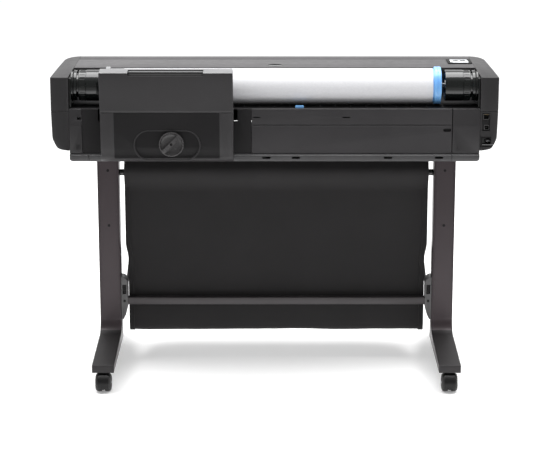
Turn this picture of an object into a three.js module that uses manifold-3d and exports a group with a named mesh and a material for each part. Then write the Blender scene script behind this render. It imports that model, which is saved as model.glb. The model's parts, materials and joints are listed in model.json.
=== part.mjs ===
// Large format plotter on a wheeled stand: roll printer, sheet feeder, paper bin.
// Millimetres, +Z up. The paper loading side faces -Y, the paper comes out on the +Y side.
// Origin: centre of the footprint, on the floor.
import * as THREE from 'three';
import { mergeVertices } from 'three/addons/utils/BufferGeometryUtils.js';
import Module from 'manifold-3d';

const wasm = await Module();
wasm.setup();

// ---------- driving dimensions ----------
const GAP = 0.3;                  // air between touching pieces
const WALL = 3;                   // casing wall
const HALF_WIDTH = 658.5;         // half the overall width
const BODY_DEPTH = 405;           // printer body, rear panel to front edge
const STAND_X = 5.4;                 // the stand sits a little right of the printer's middle
const REAR_Y = -88;               // rear plane of the body in the part's frame
const BODY_BOTTOM = 647;
const STRIP_TOP = 671;            // top of the rear strip of the lower casing
const PANEL_TOP = 805;            // top of the rear panels, floor of the roll bay
const BODY_TOP = 898;
const BAY_HALF = 606;             // half width between the two end covers
const BAY_DEPTH = 179;            // rear plane to the front wall of the roll bay
const COVER_SEAM_Y = 337.5;       // seam between the fixed top panel and the front cover
const SIDE_SEAM_Z = 797.5;        // seam between end cover and side cover
const FRAME_FACE = 601.5;         // inner face of the side frames

const ROLL = { y: 70, z: 862.7, radius: 50, core: 26, left: -446.3, right: 467.7 };
const SHAFT_R = 8;
const COLLAR_R = 49.5;
const FLANGE_R = 55.5;
const DRUM = { radius: 46, inner: 504, outer: 577.5, neck: 36, rimStart: 587.5, rim: 44, end: 593.5 };
const FEED = { y: 235, z: 775, radius: 14, pinch: 6, nip: 1 };
const FEEDER = { left: -507, right: -121, seam: 808, rear: -80, top: 932 };
const NOTCH = { left: -424, right: -206, rear: -96, front: -62 };
const KNOB = { x: -301, z: 714, radius: 36.5 };
const LEG = { inner: 475, outer: 540, rear: 85, front: 140, footRear: -216, footFront: 352 };
const FOOT_BOTTOM = 60;
const BRACKET = { inner: 455, rear: 88, front: 133 };
const CROSSBAR = { rear: 88, front: 112, bottom: 180, top: 202 };
const BIN = { rodY: 110, rodZ: 590, frontY: 345, frontZ: 300, half: 453 };
const ARM_PIVOT = { y: 146, z: 226 };
const CASTER = { wheel: 27, trail: 16, half: 24, hood: 17, stem: 5 };
const CASTER_REAR_Y = -183;
const CASTER_FRONT = { x: 518, y: 330 };
const FOOT_TAPER = 22;               // how far the front foot's inner side draws outward

// ---------- materials ----------
function finish(color, roughness, metalness = 0) {
  return new THREE.MeshStandardMaterial({ color, roughness, metalness });
}
const casing = () => finish(0x343234, 0.55);
const topCasing = () => finish(0x5a585a, 0.5);
const darkPlastic = () => finish(0x1c1b1c, 0.6);
const glossBlack = () => finish(0x0c0f0e, 0.2);
const steel = () => finish(0x8c8f91, 0.4, 0.9);
const legPaint = () => finish(0x453d40, 0.45, 0.2);

// ---------- solids ----------
function toSolid(geometry) {
  const bare = geometry.clone();
  bare.deleteAttribute('normal');
  bare.deleteAttribute('uv');
  const merged = mergeVertices(bare, 1e-4);
  const mesh = new wasm.Mesh({
    numProp: 3,
    vertProperties: new Float32Array(merged.attributes.position.array),
    triVerts: new Uint32Array(merged.index.array),
  });
  return new wasm.Manifold(mesh);
}

function toGeometry(solid) {
  const mesh = solid.getMesh();
  const geometry = new THREE.BufferGeometry();
  geometry.setAttribute('position', new THREE.BufferAttribute(mesh.vertProperties, 3));
  geometry.setIndex(new THREE.BufferAttribute(mesh.triVerts, 1));
  geometry.computeVertexNormals();
  return geometry;
}

// A box between two opposite corners.
function block(x0, x1, y0, y1, z0, z1) {
  const box = new THREE.BoxGeometry(x1 - x0, y1 - y0, z1 - z0);
  return toSolid(box.translate((x0 + x1) / 2, (y0 + y1) / 2, (z0 + z1) / 2));
}

function outline(points) {
  return new THREE.Shape(points.map(([u, v]) => new THREE.Vector2(u, v)));
}

function extrude(shape, depth, axes, curveSegments = 6) {
  const geometry = new THREE.ExtrudeGeometry(shape, { depth, bevelEnabled: false, curveSegments });
  const basis = new THREE.Matrix4().makeBasis(...axes.map((axis) => new THREE.Vector3(...axis)));
  return geometry.applyMatrix4(basis);
}

// Prisms: the outline lies in the (y, z), (x, z) or (x, y) plane.
function prismX(shape, x0, x1) {
  const geometry = extrude(shape, x1 - x0, [[0, 1, 0], [0, 0, 1], [1, 0, 0]]);
  return toSolid(geometry.translate(x0, 0, 0));
}

function prismY(shape, y0, y1, curveSegments = 6) {
  const geometry = extrude(shape, y1 - y0, [[1, 0, 0], [0, 0, 1], [0, -1, 0]], curveSegments);
  return toSolid(geometry.translate(0, y1, 0));
}

function prismZ(shape, z0, z1) {
  const geometry = extrude(shape, z1 - z0, [[1, 0, 0], [0, 1, 0], [0, 0, 1]]);
  return toSolid(geometry.translate(0, 0, z0));
}

// Round bars along each axis.
function rodX(radius, x0, x1, y, z, sides = 24) {
  const bar = new THREE.CylinderGeometry(radius, radius, x1 - x0, sides);
  return toSolid(bar.rotateZ(-Math.PI / 2).translate((x0 + x1) / 2, y, z));
}

function rodY(radius, y0, y1, x, z, sides = 24) {
  const bar = new THREE.CylinderGeometry(radius, radius, y1 - y0, sides);
  return toSolid(bar.translate(x, (y0 + y1) / 2, z));
}

function rodZ(radius, z0, z1, x, y, sides = 24) {
  const bar = new THREE.CylinderGeometry(radius, radius, z1 - z0, sides);
  return toSolid(bar.rotateX(Math.PI / 2).translate(x, y, (z0 + z1) / 2));
}

// A ring turned about the X axis at (y, z). The profile is a list of [x, radius] corners.
function turnedX(profile, y, z, sides = 32) {
  const loop = [...profile, profile[0]];
  const points = loop.map(([x, radius]) => new THREE.Vector2(radius, x));
  const ring = new THREE.LatheGeometry(points, sides);
  return toSolid(ring.rotateZ(-Math.PI / 2).translate(0, y, z));
}

function roundedOutline(u0, u1, v0, v1, radius) {
  const shape = new THREE.Shape();
  shape.moveTo(u0 + radius, v0);
  shape.lineTo(u1 - radius, v0);
  shape.absarc(u1 - radius, v0 + radius, radius, -Math.PI / 2, 0);
  shape.lineTo(u1, v1 - radius);
  shape.absarc(u1 - radius, v1 - radius, radius, 0, Math.PI / 2);
  shape.lineTo(u0 + radius, v1);
  shape.absarc(u0 + radius, v1 - radius, radius, Math.PI / 2, Math.PI);
  shape.lineTo(u0, v0 + radius);
  shape.absarc(u0 + radius, v0 + radius, radius, Math.PI, 1.5 * Math.PI);
  return shape;
}

function mirrorX(solid) {
  return solid.mirror([1, 0, 0]);
}

function joined(solids) {
  return solids.reduce((whole, piece) => whole.add(piece));
}

function addPart(group, name, solid, material, position = [0, 0, 0]) {
  const mesh = new THREE.Mesh(toGeometry(solid), material);
  mesh.name = name;
  mesh.position.set(...position);
  group.add(mesh);
  return mesh;
}

// ---------- printer casing ----------
function lowerCasing() {
  const floorTop = BODY_BOTTOM + WALL;
  const lip = BODY_DEPTH - 12;
  const section = outline([
    [0, STRIP_TOP - GAP], [-6, 664], [-7, 656], [-3, 649], [4, BODY_BOTTOM],
    [lip, BODY_BOTTOM], [lip, 690], [lip - WALL, 690], [lip - WALL, floorTop],
    [6, floorTop], [0, 652], [-4, 657], [-3, 662.5], [4, STRIP_TOP - GAP],
  ]);
  let pan = prismX(section, -BAY_HALF + GAP, BAY_HALF - GAP);
  for (const x of [-24, 63, 335, 486]) {
    pan = pan.subtract(prismY(roundedOutline(x - 12, x + 12, 656, 662, 2.9), -10, 3, 1));
  }
  return pan;
}

function rearPanel(left, right) {
  const section = outline([
    [0, STRIP_TOP], [WALL, STRIP_TOP], [WALL, PANEL_TOP - WALL],
    [8, PANEL_TOP - WALL], [8, PANEL_TOP], [0, PANEL_TOP],
  ]);
  return prismX(section, left, right);
}

function rearPanelCentre() {
  const panel = rearPanel(-68, 524);
  const hole = prismY(roundedOutline(497, 521, 736, 746, 4.5), -1, 5, 2);
  return panel.subtract(hole).subtract(block(200, 222, -1, 5, 777, 780));
}

function rearPanelLeft() {
  let panel = rearPanel(-BAY_HALF + GAP, -68 - GAP);
  for (const left of [FEEDER.left - 13, FEEDER.right + 1]) {
    panel = panel.subtract(block(left, left + 11, -1, 9, 768, PANEL_TOP + 1));
  }
  return panel.subtract(block(-470, -160, -1, 5, 700, 722));
}

// Plan of an end cover, drawn in by an even inset. The inner side reaches past the open face.
function endPlan(inset) {
  const inner = inset > 0 ? BAY_HALF - 2 : BAY_HALF + GAP;
  const shape = new THREE.Shape();
  shape.moveTo(inner, inset);
  shape.lineTo(HALF_WIDTH - inset, inset);
  shape.lineTo(650.5 - inset, 325);
  shape.bezierCurveTo(648 - inset, 366, 634 - inset, 396, inner, BODY_DEPTH - 4 - inset);
  return shape;
}

// Rear elevation of an end: upright side, drafted lower half, chamfered bottom corner.
function endElevation(inset) {
  const inner = inset > 0 ? BAY_HALF - 2 : BAY_HALF + GAP;
  return outline([
    [inner, 680 + inset], [615, 680 + inset], [640 - inset / 2, 687 + inset],
    [656.5 - inset, 723 + inset / 2], [HALF_WIDTH + 1 - inset, SIDE_SEAM_Z],
    [HALF_WIDTH + 1 - inset, BODY_TOP - inset], [inner, BODY_TOP - inset],
  ]);
}

function endShell(bottom, top) {
  const solidEnd = (inset) => prismZ(endPlan(inset), 600, 1000)
    .intersect(prismY(endElevation(inset), -50, BODY_DEPTH + 50));
  const band = block(0, 1000, -100, 1000, bottom, top);
  return solidEnd(0).subtract(solidEnd(WALL)).intersect(band);
}

const SOCKET_HOLE = { left: 611.5, right: 634, bottom: 739, top: 792 };
const INLET_HOLE = { left: 610, right: 639, bottom: 697, top: 722 };

function sideCoverRight() {
  const ports = SOCKET_HOLE;
  const inlet = INLET_HOLE;
  return endShell(600, SIDE_SEAM_Z - GAP)
    .subtract(block(ports.left, ports.right, -1, 5, ports.bottom, ports.top))
    .subtract(block(inlet.left, inlet.right, -1, 5, inlet.bottom, inlet.top));
}

// Steel side plate with the open-topped cradle that carries the spindle journal.
function sideFrame() {
  const plate = outline([
    [9, BODY_BOTTOM + WALL + GAP], [370, BODY_BOTTOM + WALL + GAP], [370, 740], [338, 760],
    [330, 880], [181, 880], [181, 893], [9, 893],
  ]);
  const frame = prismX(plate, FRAME_FACE, FRAME_FACE + WALL);
  const cradle = rodX(DRUM.radius - 1, FRAME_FACE - 7, FRAME_FACE + 0.5, ROLL.y, ROLL.z, 32);
  const seat = rodX(SHAFT_R + GAP, 580, 620, ROLL.y, ROLL.z);
  const slot = block(580, 620, ROLL.y - SHAFT_R - GAP, ROLL.y + SHAFT_R + GAP, ROLL.z, 950);
  const rail = block(580, 620, 224, 251, 834, 871);
  const rollers = rodX(FEED.radius * 0.5 + GAP, 580, 620, FEED.y, FEED.z);
  const pinchZ = FEED.z + FEED.radius + FEED.pinch + FEED.nip;
  const pinch = rodX(3 + GAP, 580, 620, FEED.y, pinchZ, 16);
  return frame.add(cradle).subtract(seat).subtract(slot)
    .subtract(rail).subtract(rollers).subtract(pinch);
}

const CONTROL = { left: 530, right: 604, rear: 251, front: 334 };

function topPanel() {
  const section = outline([
    [182, 884], [182, BODY_TOP], [COVER_SEAM_Y - GAP, BODY_TOP],
    [COVER_SEAM_Y - GAP, BODY_TOP - WALL], [185, BODY_TOP - WALL], [185, 884],
  ]);
  const panel = prismX(section, -BAY_HALF + GAP, BAY_HALF - GAP);
  const opening = block(CONTROL.left - GAP, CONTROL.right + GAP, CONTROL.rear - GAP,
    CONTROL.front + GAP, 880, 910);
  return panel.subtract(opening);
}

// Access cover over the carriage: flat top, rounded nose, upright front.
function coverSection(inset) {
  const shape = new THREE.Shape();
  const rear = COVER_SEAM_Y + (inset > 0 ? -5 : GAP);
  const front = BODY_DEPTH - inset;
  const top = BODY_TOP - inset;
  shape.moveTo(rear, top);
  shape.lineTo(rear, 700);
  shape.lineTo(front, 700);
  shape.lineTo(front, 889);
  shape.bezierCurveTo(front, 895, BODY_DEPTH - 2, top, BODY_DEPTH - 9, top);
  return shape;
}

function frontCover() {
  const outer = prismX(coverSection(0), -BAY_HALF + GAP, BAY_HALF - GAP);
  const inner = prismX(coverSection(WALL), -BAY_HALF - 1, BAY_HALF + 1);
  const below = block(-700, 700, 0, 500, 600, 806);
  return outer.subtract(inner).subtract(below);
}

const INK_DOOR = { left: -590, right: -430, bottom: 694, top: 768 };

function frontPanel() {
  const front = BODY_DEPTH - 5;
  const section = outline([
    [front, 694], [front, 782], [front - 6, 786], [345, 788], [345, 785],
    [front - 8, 782], [front - WALL, 779], [front - WALL, 694],
  ]);
  const door = INK_DOOR;
  const hole = block(door.left - GAP, door.right + GAP, front - 5, front + 5,
    door.bottom - GAP, door.top + GAP);
  return prismX(section, -BAY_HALF + GAP, BAY_HALF - GAP).subtract(hole);
}

function inkDoor() {
  const front = BODY_DEPTH - 5;
  const door = INK_DOOR;
  return block(door.left, door.right, front - WALL, front, door.bottom, door.top);
}

// Tray under the roll: floor, upright front wall with a paper slot along its foot.
function rollBay() {
  const section = outline([
    [8 + GAP, 801], [8 + GAP, 804], [120, 804], [150, 806], [BAY_DEPTH - WALL, 812],
    [BAY_DEPTH - WALL, 893], [BAY_DEPTH, 893], [BAY_DEPTH, 809.5], [150, 803], [120, 801],
  ]);
  const slot = block(-460, 480, BAY_DEPTH - 8, BAY_DEPTH + 2, 820, 828);
  return prismX(section, -FRAME_FACE + GAP, FRAME_FACE - GAP).subtract(slot);
}

function buildCasing(body) {
  const panelRight = rearPanel(524 + GAP, BAY_HALF - GAP);
  const sideCover = endShell(600, SIDE_SEAM_Z - GAP);
  const endCover = endShell(SIDE_SEAM_Z, 1000);
  addPart(body, 'lower_casing', lowerCasing(), casing());
  addPart(body, 'rear_panel', rearPanelCentre(), casing());
  addPart(body, 'rear_panel_left', rearPanelLeft(), casing());
  addPart(body, 'rear_panel_right', panelRight, casing());
  addPart(body, 'end_cover_left', mirrorX(endCover), topCasing());
  addPart(body, 'end_cover_right', endCover, topCasing());
  addPart(body, 'side_cover_left', mirrorX(sideCover), casing());
  addPart(body, 'side_cover_right', sideCoverRight(), casing());
  addPart(body, 'side_frame_left', mirrorX(sideFrame()), steel());
  addPart(body, 'side_frame_right', sideFrame(), steel());
  addPart(body, 'top_panel', topPanel(), topCasing());
  addPart(body, 'front_cover', frontCover(), topCasing());
  addPart(body, 'front_panel', frontPanel(), casing());
  addPart(body, 'ink_door', inkDoor(), casing());
  addPart(body, 'roll_bay', rollBay(), darkPlastic());
}

// ---------- controls and sockets ----------
function buildControls(body) {
  const { left, right, rear, front } = CONTROL;
  const buttonHole = rodZ(4 + GAP, 880, 910, left + 12, rear + 9, 16);
  const bezel = block(left, right, rear, front, BODY_TOP - 6, BODY_TOP + 2.5)
    .subtract(block(540, 595, 266, 326, BODY_TOP - 3, BODY_TOP + 5))
    .subtract(buttonHole);
  const display = block(540 + GAP, 595 - GAP, 266 + GAP, 326 - GAP, BODY_TOP - 3 + GAP, BODY_TOP + 2);
  const button = rodZ(4 - 0.2, BODY_TOP - 8, BODY_TOP + 3.5, left + 12, rear + 9, 16);
  addPart(body, 'control_panel', bezel, glossBlack());
  addPart(body, 'display', display, finish(0xd8dce0, 0.2));
  addPart(body, 'power_button', button, finish(0x2a2a2a, 0.4));

  const ports = SOCKET_HOLE;
  const sockets = block(ports.left + GAP, ports.right - GAP, 1, 22, ports.bottom + GAP, ports.top - GAP)
    .subtract(block(615, 631, -1, 16, 774, 788))
    .subtract(block(619, 631, -1, 14, 743, 755));
  addPart(body, 'data_sockets', sockets, finish(0x777a7c, 0.4, 0.6));

  const inlet = INLET_HOLE;
  const inletBlock = block(inlet.left + GAP, inlet.right - GAP, 1, 26, inlet.bottom + GAP, inlet.top - GAP)
    .subtract(block(622, 637, -1, 18, 700, 719))
    .subtract(block(612, 620, -1, 14, 700, 719));
  const pins = joined([-4, 0, 4].map((dx) => block(628.7 + dx, 630.3 + dx, 6, 18.5, 706, 713)));
  addPart(body, 'power_inlet', inletBlock.add(pins), darkPlastic());
  addPart(body, 'power_switch', powerSwitch(), glossBlack(), [616, 6, 709.5]);
}

// Rocker: a flat wedge pair about its own pivot, in its own frame.
function powerSwitch() {
  const section = outline([[-4, -8.5], [4, -7], [5, 0], [4, 7], [-4, 8.5], [-2.5, 0]]);
  return prismX(section, -3.6, 3.6);
}

// ---------- paper roll and spindle ----------
function drum() {
  return turnedX([
    [DRUM.inner, SHAFT_R + GAP], [DRUM.inner, DRUM.radius - 2], [DRUM.inner + 2, DRUM.radius],
    [DRUM.outer - 1, DRUM.radius], [DRUM.outer, DRUM.radius - 1], [DRUM.outer, DRUM.neck],
    [DRUM.rimStart, DRUM.neck], [DRUM.rimStart, DRUM.rim], [DRUM.end, DRUM.rim],
    [DRUM.end, SHAFT_R + GAP],
  ], ROLL.y, ROLL.z, 32);
}

// Roll hub: boss that grips inside the paper core, collar against the roll, wide flange outside.
function hub(inner, flange, width) {
  const direction = Math.sign(flange - inner);
  const boss = inner - direction * 38;
  const outer = flange + direction * width;
  const corners = [
    [boss, SHAFT_R + GAP], [boss, ROLL.core - GAP - 2], [boss + direction * 3, ROLL.core - GAP],
    [inner, ROLL.core - GAP], [inner, COLLAR_R], [flange, COLLAR_R], [flange, FLANGE_R],
    [outer, FLANGE_R], [outer, SHAFT_R + GAP],
  ];
  return turnedX(direction > 0 ? corners : corners.reverse(), ROLL.y, ROLL.z, 32);
}

function buildSpindle(body) {
  const paper = turnedX([
    [ROLL.left, ROLL.core], [ROLL.left, ROLL.radius], [ROLL.right, ROLL.radius], [ROLL.right, ROLL.core],
  ], ROLL.y, ROLL.z, 40);
  addPart(body, 'spindle_shaft', rodX(SHAFT_R - 0.05, -598, 598, ROLL.y, ROLL.z), steel());
  addPart(body, 'spindle_end_left', mirrorX(drum()), glossBlack());
  addPart(body, 'spindle_end_right', drum(), glossBlack());
  addPart(body, 'hub_left', hub(ROLL.left - GAP, -486, 13), finish(0xd6d9dc, 0.4));
  addPart(body, 'hub_right', hub(ROLL.right + GAP, ROLL.right + 4, 20.3), finish(0x3f9df2, 0.4));
  addPart(body, 'paper_roll', paper, finish(0xf2f2f4, 0.8));
}

// ---------- print engine ----------
function feedRoller() {
  const { y, z, radius } = FEED;
  const tube = rodX(radius, -585, 585, y, z);
  const journals = rodX(radius * 0.5, -604, 604, y, z);
  const gear = rodX(radius + 3, 586, 594, y, z, 36);
  return tube.add(journals).add(gear);
}

function pinchRoller() {
  const z = FEED.z + FEED.radius + FEED.pinch + FEED.nip;
  const bar = rodX(3, -604, 604, FEED.y, z, 12);
  const tyres = [];
  for (let x = -540; x <= 540; x += 120) tyres.push(rodX(FEED.pinch, x - 20, x + 20, FEED.y, z, 12));
  return joined([bar, ...tyres]);
}

function printCarriage() {
  const hook = outline([
    [252, 800], [330, 800], [330, 862], [318, 878], [222, 878], [222, 860],
    [223.5, 860], [223.5, 872], [252, 872],
  ]);
  return prismX(hook, -55, 55);
}

function platen() {
  let deck = block(-590, 455, 258, 340, 770, 783);
  for (let x = -560; x <= 430; x += 110) deck = deck.subtract(block(x, x + 80, 300, 318, 776, 790));
  return deck;
}

function serviceStation() {
  const tub = block(462, 590, 262, 334, 735, 785).subtract(block(466, 586, 266, 330, 742, 800));
  const caps = [480, 510, 540].map((x) => block(x, x + 18, 275, 320, 740, 786));
  return joined([tub, ...caps]);
}

function mainBoard() {
  const board = block(330, 520, 12, 15, 680, 780);
  const chips = [
    [350, 700, 40, 30, 6], [420, 705, 30, 30, 8], [470, 740, 30, 25, 14], [360, 750, 70, 10, 12],
  ];
  const parts = chips.map(
    ([x, z, width, height, depth]) => block(x, x + width, 14.5, 15 + depth, z, z + height),
  );
  return joined([board, ...parts]);
}

// Box-section rail, open at both ends.
function carriageRail() {
  return block(-604, 604, 225, 250, 835, 870).subtract(block(-610, 610, 227, 248, 837, 868));
}

// Sheet metal box over the supply, open underneath, with vent slots in its rear side.
function powerSupply() {
  let box = block(430, 585, 40, 150, 652, 712).subtract(block(432, 583, 42, 148, 650, 710));
  for (let x = 450; x < 570; x += 15) box = box.subtract(block(x, x + 5, 38, 45, 670, 700));
  return box;
}

function buildEngine(body) {
  addPart(body, 'carriage_rail', carriageRail(), steel());
  addPart(body, 'print_carriage', printCarriage(), darkPlastic());
  addPart(body, 'platen', platen(), darkPlastic());
  addPart(body, 'feed_roller', feedRoller(), steel());
  addPart(body, 'pinch_roller', pinchRoller(), darkPlastic());
  addPart(body, 'service_station', serviceStation(), darkPlastic());
  addPart(body, 'main_board', mainBoard(), finish(0x1f5a34, 0.5));
  addPart(body, 'power_supply', powerSupply(), steel());
  const inks = [0x22a7d8, 0xc8307c, 0xe6c62a, 0x202020];
  inks.forEach((color, index) => {
    const left = INK_DOOR.left + 6 + index * 38;
    const cartridge = block(left, left + 32, 270, 386, 696, 762)
      .subtract(block(left + 6, left + 26, 378, 394, 745, 755));
    addPart(body, `ink_cartridge_${index + 1}`, cartridge, finish(color, 0.5));
  });
}

// ---------- sheet feeder ----------
const LEAN = Math.atan2(20, 112);            // backward lean of the feeder cover's face

// Y of the cover's leaning face, moved in by an inset, at a height.
function faceY(z, inset = 0) {
  return FEEDER.rear - (z - FEEDER.seam) * Math.tan(LEAN) + inset / Math.cos(LEAN);
}

function feederCover() {
  const { left, right, seam, top } = FEEDER;
  const outer = outline([
    [faceY(seam) + 1, seam + GAP], [faceY(920), 920], [faceY(920) + 4, top - 5],
    [-46, top], [-38, top - 5], [-24, seam + GAP],
  ]);
  const inner = outline([
    [faceY(seam - 5, WALL), seam - 5], [faceY(917, WALL), 917], [faceY(917, WALL) + 4, top - 9],
    [-48, top - 5], [-42, top - 8], [-27.5, seam - 5],
  ]);
  const notch = block(NOTCH.left, NOTCH.right, NOTCH.rear, NOTCH.front, 915, 940);
  return prismX(outer, left, right).subtract(prismX(inner, left + WALL, right - WALL)).subtract(notch);
}

// Flat tray that slides up out of the cover, with a finger flange along its top edge.
function trayExtension() {
  const low = FEEDER.seam + 8;
  const high = 924;
  const section = outline([
    [faceY(low, 6), low], [faceY(high, 6), high], [NOTCH.front - 1.5, high + 3],
    [NOTCH.front - 1.5, high], [faceY(high - 3, 10), high - 3], [faceY(low, 10), low],
  ]);
  return prismX(section, NOTCH.left + 1, NOTCH.right - 1);
}

function feederHousing() {
  const { left, right, seam, rear } = FEEDER;
  const inside = -GAP;
  const section = outline([
    [rear, seam - GAP], [rear + 6, 705], [rear + 12, 680], [rear + 26, 664], [-50, 657],
    [-8, 657], [-8, 672], [inside, 674], [inside, seam - GAP],
  ]);
  const pocket = outline([
    [rear + 16, seam - 6], [rear + 20, 700], [-46, 668], [-18, 668], [-18, 685], [5, 685], [5, seam - 6],
  ]);
  return prismX(section, left, right)
    .subtract(prismX(pocket, left + 6, right - 6))
    .subtract(block(-467, -163, rear - 5, rear + 5, 675, seam - 3))
    .subtract(prismY(roundedOutline(-407, -220, 668, 752, 41.9), rear - 10, rear + 11))
    .subtract(block(-465, -165, -60, -30, seam - 10, seam + 2))
    .subtract(rodY(6 + GAP, rear, rear + 30, KNOB.x, KNOB.z));
}

// Round knob: disc, straight grip bar at 45 degrees, stub axle into the housing.
function feederKnob() {
  const face = FEEDER.rear + 11 - GAP;
  const disc = rodY(KNOB.radius, face - 7, face, 0, 0, 36);
  const grip = new THREE.BoxGeometry(60, 9, 15).translate(0, face - 8, 0).rotateY(-Math.PI / 4);
  const axle = rodY(6, face - 1, face + 8, 0, 0);
  return disc.add(toSolid(grip)).add(axle);
}

function pickRoller() {
  const bar = rodX(3, -498, -130, -40, 735, 12);
  const tyres = [-350, -260].map((x) => rodX(12, x - 15, x + 15, -40, 735, 20));
  return joined([bar, ...tyres]);
}

function buildFeeder(body) {
  addPart(body, 'feeder_housing', feederHousing(), casing());
  addPart(body, 'feeder_cover', feederCover(), casing());
  addPart(body, 'tray_extension', trayExtension(), darkPlastic());
  addPart(body, 'feeder_knob', feederKnob(), darkPlastic(), [KNOB.x, 0, KNOB.z]);
  addPart(body, 'pick_roller', pickRoller(), finish(0x303030, 0.9));
}

// ---------- stand ----------
// Column on a long foot, in one hollow casting: the foot sweeps up into the column.
function leg() {
  const { inner, outer, rear, front, footRear, footFront } = LEG;
  const shape = new THREE.Shape();
  const sweep = 38;
  const skin = 2;
  shape.moveTo(footRear, FOOT_BOTTOM);
  shape.lineTo(footFront, FOOT_BOTTOM);
  shape.lineTo(footFront, 81);
  shape.lineTo(footFront - 5, 84);
  shape.lineTo(front + sweep, 96);
  shape.quadraticCurveTo(front + 6, 98, front, 96 + sweep);
  shape.lineTo(front, BODY_BOTTOM - GAP);
  shape.lineTo(rear, BODY_BOTTOM - GAP);
  shape.lineTo(rear, 96 + sweep);
  shape.quadraticCurveTo(rear - 6, 98, rear - sweep, 96);
  shape.lineTo(footRear + 5, 84);
  shape.lineTo(footRear, 81);
  const stemHole = (x, y) => rodZ(CASTER.stem + GAP, FOOT_BOTTOM - 1, 78, x, y, 16);
  const taperAt = (y) => inner + FOOT_TAPER * (y - front) / (footFront - front);
  const taper = outline([
    [inner - 5, front], [inner, front], [taperAt(footFront + 1), footFront + 1], [inner - 5, footFront + 1],
  ]);
  const frontPocket = outline([
    [taperAt(155) + skin, 155], [outer - skin, 155], [outer - skin, 305], [taperAt(305) + skin, 305],
  ]);
  return prismX(shape, inner, outer)
    .subtract(prismZ(taper, 50, 200))
    .subtract(block(inner + skin, outer - skin, rear + skin, front - skin, 100, 700))
    .subtract(block(inner + skin, outer - skin, -165, 70, 50, 81))
    .subtract(prismZ(frontPocket, 50, 81))
    .subtract(stemHole((inner + outer) / 2, CASTER_REAR_Y))
    .subtract(stemHole(CASTER_FRONT.x, CASTER_FRONT.y));
}

// Bracket on the inner side of a column: holds the crossbar and the pivot of the bin arm.
function barBracket() {
  const face = LEG.inner - GAP;
  const side = outline([
    [BRACKET.inner, 176], [face - 8, 133], [face, 133], [face, 267], [face - 6, 267], [BRACKET.inner, 256],
  ]);
  const lug = block(BRACKET.inner + 9.7, face, BRACKET.front - 1, ARM_PIVOT.y + 9, 214, 238);
  return prismY(side, BRACKET.rear, BRACKET.front)
    .subtract(block(BRACKET.inner + 4, face - 4, BRACKET.rear - 1, BRACKET.front - 8, 215, 240))
    .add(lug);
}

function crossbar() {
  const { rear, front, bottom, top } = CROSSBAR;
  const end = BRACKET.inner - GAP;
  return block(-end, end, rear, front, bottom, top)
    .subtract(block(-end - 1, end + 1, rear + 2, front - 2, bottom + 2, top - 2));
}

function binRod() {
  const end = LEG.inner - GAP;
  return rodX(9.5, -end, end, BIN.rodY, BIN.rodZ).subtract(rodX(8, -500, 500, BIN.rodY, BIN.rodZ));
}

// Front rod of the bin with the two arms that carry it.
function binFrame() {
  const { frontY, frontZ } = BIN;
  const outerX = BRACKET.inner + 9.4;
  const innerX = outerX - 6.4;
  const length = Math.hypot(frontY - ARM_PIVOT.y, frontZ - ARM_PIVOT.z);
  const rise = Math.atan2(frontZ - ARM_PIVOT.z, frontY - ARM_PIVOT.y);
  const bar = new THREE.BoxGeometry(outerX - innerX, length, 14)
    .translate((innerX + outerX) / 2, length / 2, 0)
    .rotateX(rise)
    .translate(0, ARM_PIVOT.y, ARM_PIVOT.z);
  const arm = toSolid(bar)
    .add(rodX(9, innerX, outerX, ARM_PIVOT.y, ARM_PIVOT.z))
    .add(rodX(10, innerX, outerX, frontY, frontZ));
  return arm.add(mirrorX(arm)).add(rodX(7, -outerX + 1, outerX - 1, frontY, frontZ, 20));
}

// Fabric of the bin: hangs from under the printer against the rear rod, turns forward at the
// bottom and rises to the front rod.
function binFabric() {
  const thickness = 2;
  const shape = new THREE.Shape();
  const top = BODY_BOTTOM - 2;
  const bottom = 86;
  const rearY = BIN.rodY + 10.2;
  const frontY = BIN.frontY - 10;
  shape.moveTo(rearY, top);
  shape.lineTo(rearY + 1, bottom + 60);
  shape.bezierCurveTo(rearY + 2, bottom, rearY + 10, bottom, rearY + 28, bottom);
  shape.bezierCurveTo(rearY + 88, bottom, frontY - 40, bottom + 90, frontY, BIN.frontZ - 14);
  shape.lineTo(frontY - thickness, BIN.frontZ - 11);
  const lining = bottom + thickness;
  shape.bezierCurveTo(frontY - 45, bottom + 95, rearY + 88, lining, rearY + 28, lining);
  shape.bezierCurveTo(rearY + 13, lining, rearY + 5, bottom + 8, rearY + 4, bottom + 60);
  shape.lineTo(rearY + thickness, top);
  return prismX(shape, -BIN.half, BIN.half);
}

// Caster in its own frame: the stem on the axis, the wheels trailing along -Y, floor at z = 0.
function casterFork() {
  const { wheel, trail, hood: reach, stem } = CASTER;
  const hood = (radius, x0, x1) => rodX(radius, x0, x1, -trail, wheel, 24);
  const cap = hood(wheel + 4, -reach, reach)
    .subtract(hood(wheel + 1.2, -reach - 1, reach + 1))
    .subtract(block(-50, 50, -100, 100, -10, wheel + 6));
  const web = hood(wheel + 2, -4, 4).subtract(block(-50, 50, -100, 100, -10, wheel - 9));
  const post = rodZ(stem, wheel + 24, 76, 0, 0, 16);
  const plate = rodZ(13, wheel + 27, FOOT_BOTTOM - 1, 0, 0, 20);
  return joined([cap, web, post, plate]).subtract(hood(4 + GAP, -10, 10));
}

function casterWheels() {
  const { wheel, trail, half } = CASTER;
  const tyre = turnedX([
    [4.5, 0], [4.5, wheel - 1.5], [6.5, wheel], [half - 5, wheel], [half - 1, wheel - 4], [half - 1, 9],
    [half - 4, 8], [half - 4, 0],
  ], -trail, wheel, 24);
  return joined([tyre, mirrorX(tyre), rodX(4, -6, 6, -trail, wheel, 16)]);
}

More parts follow.
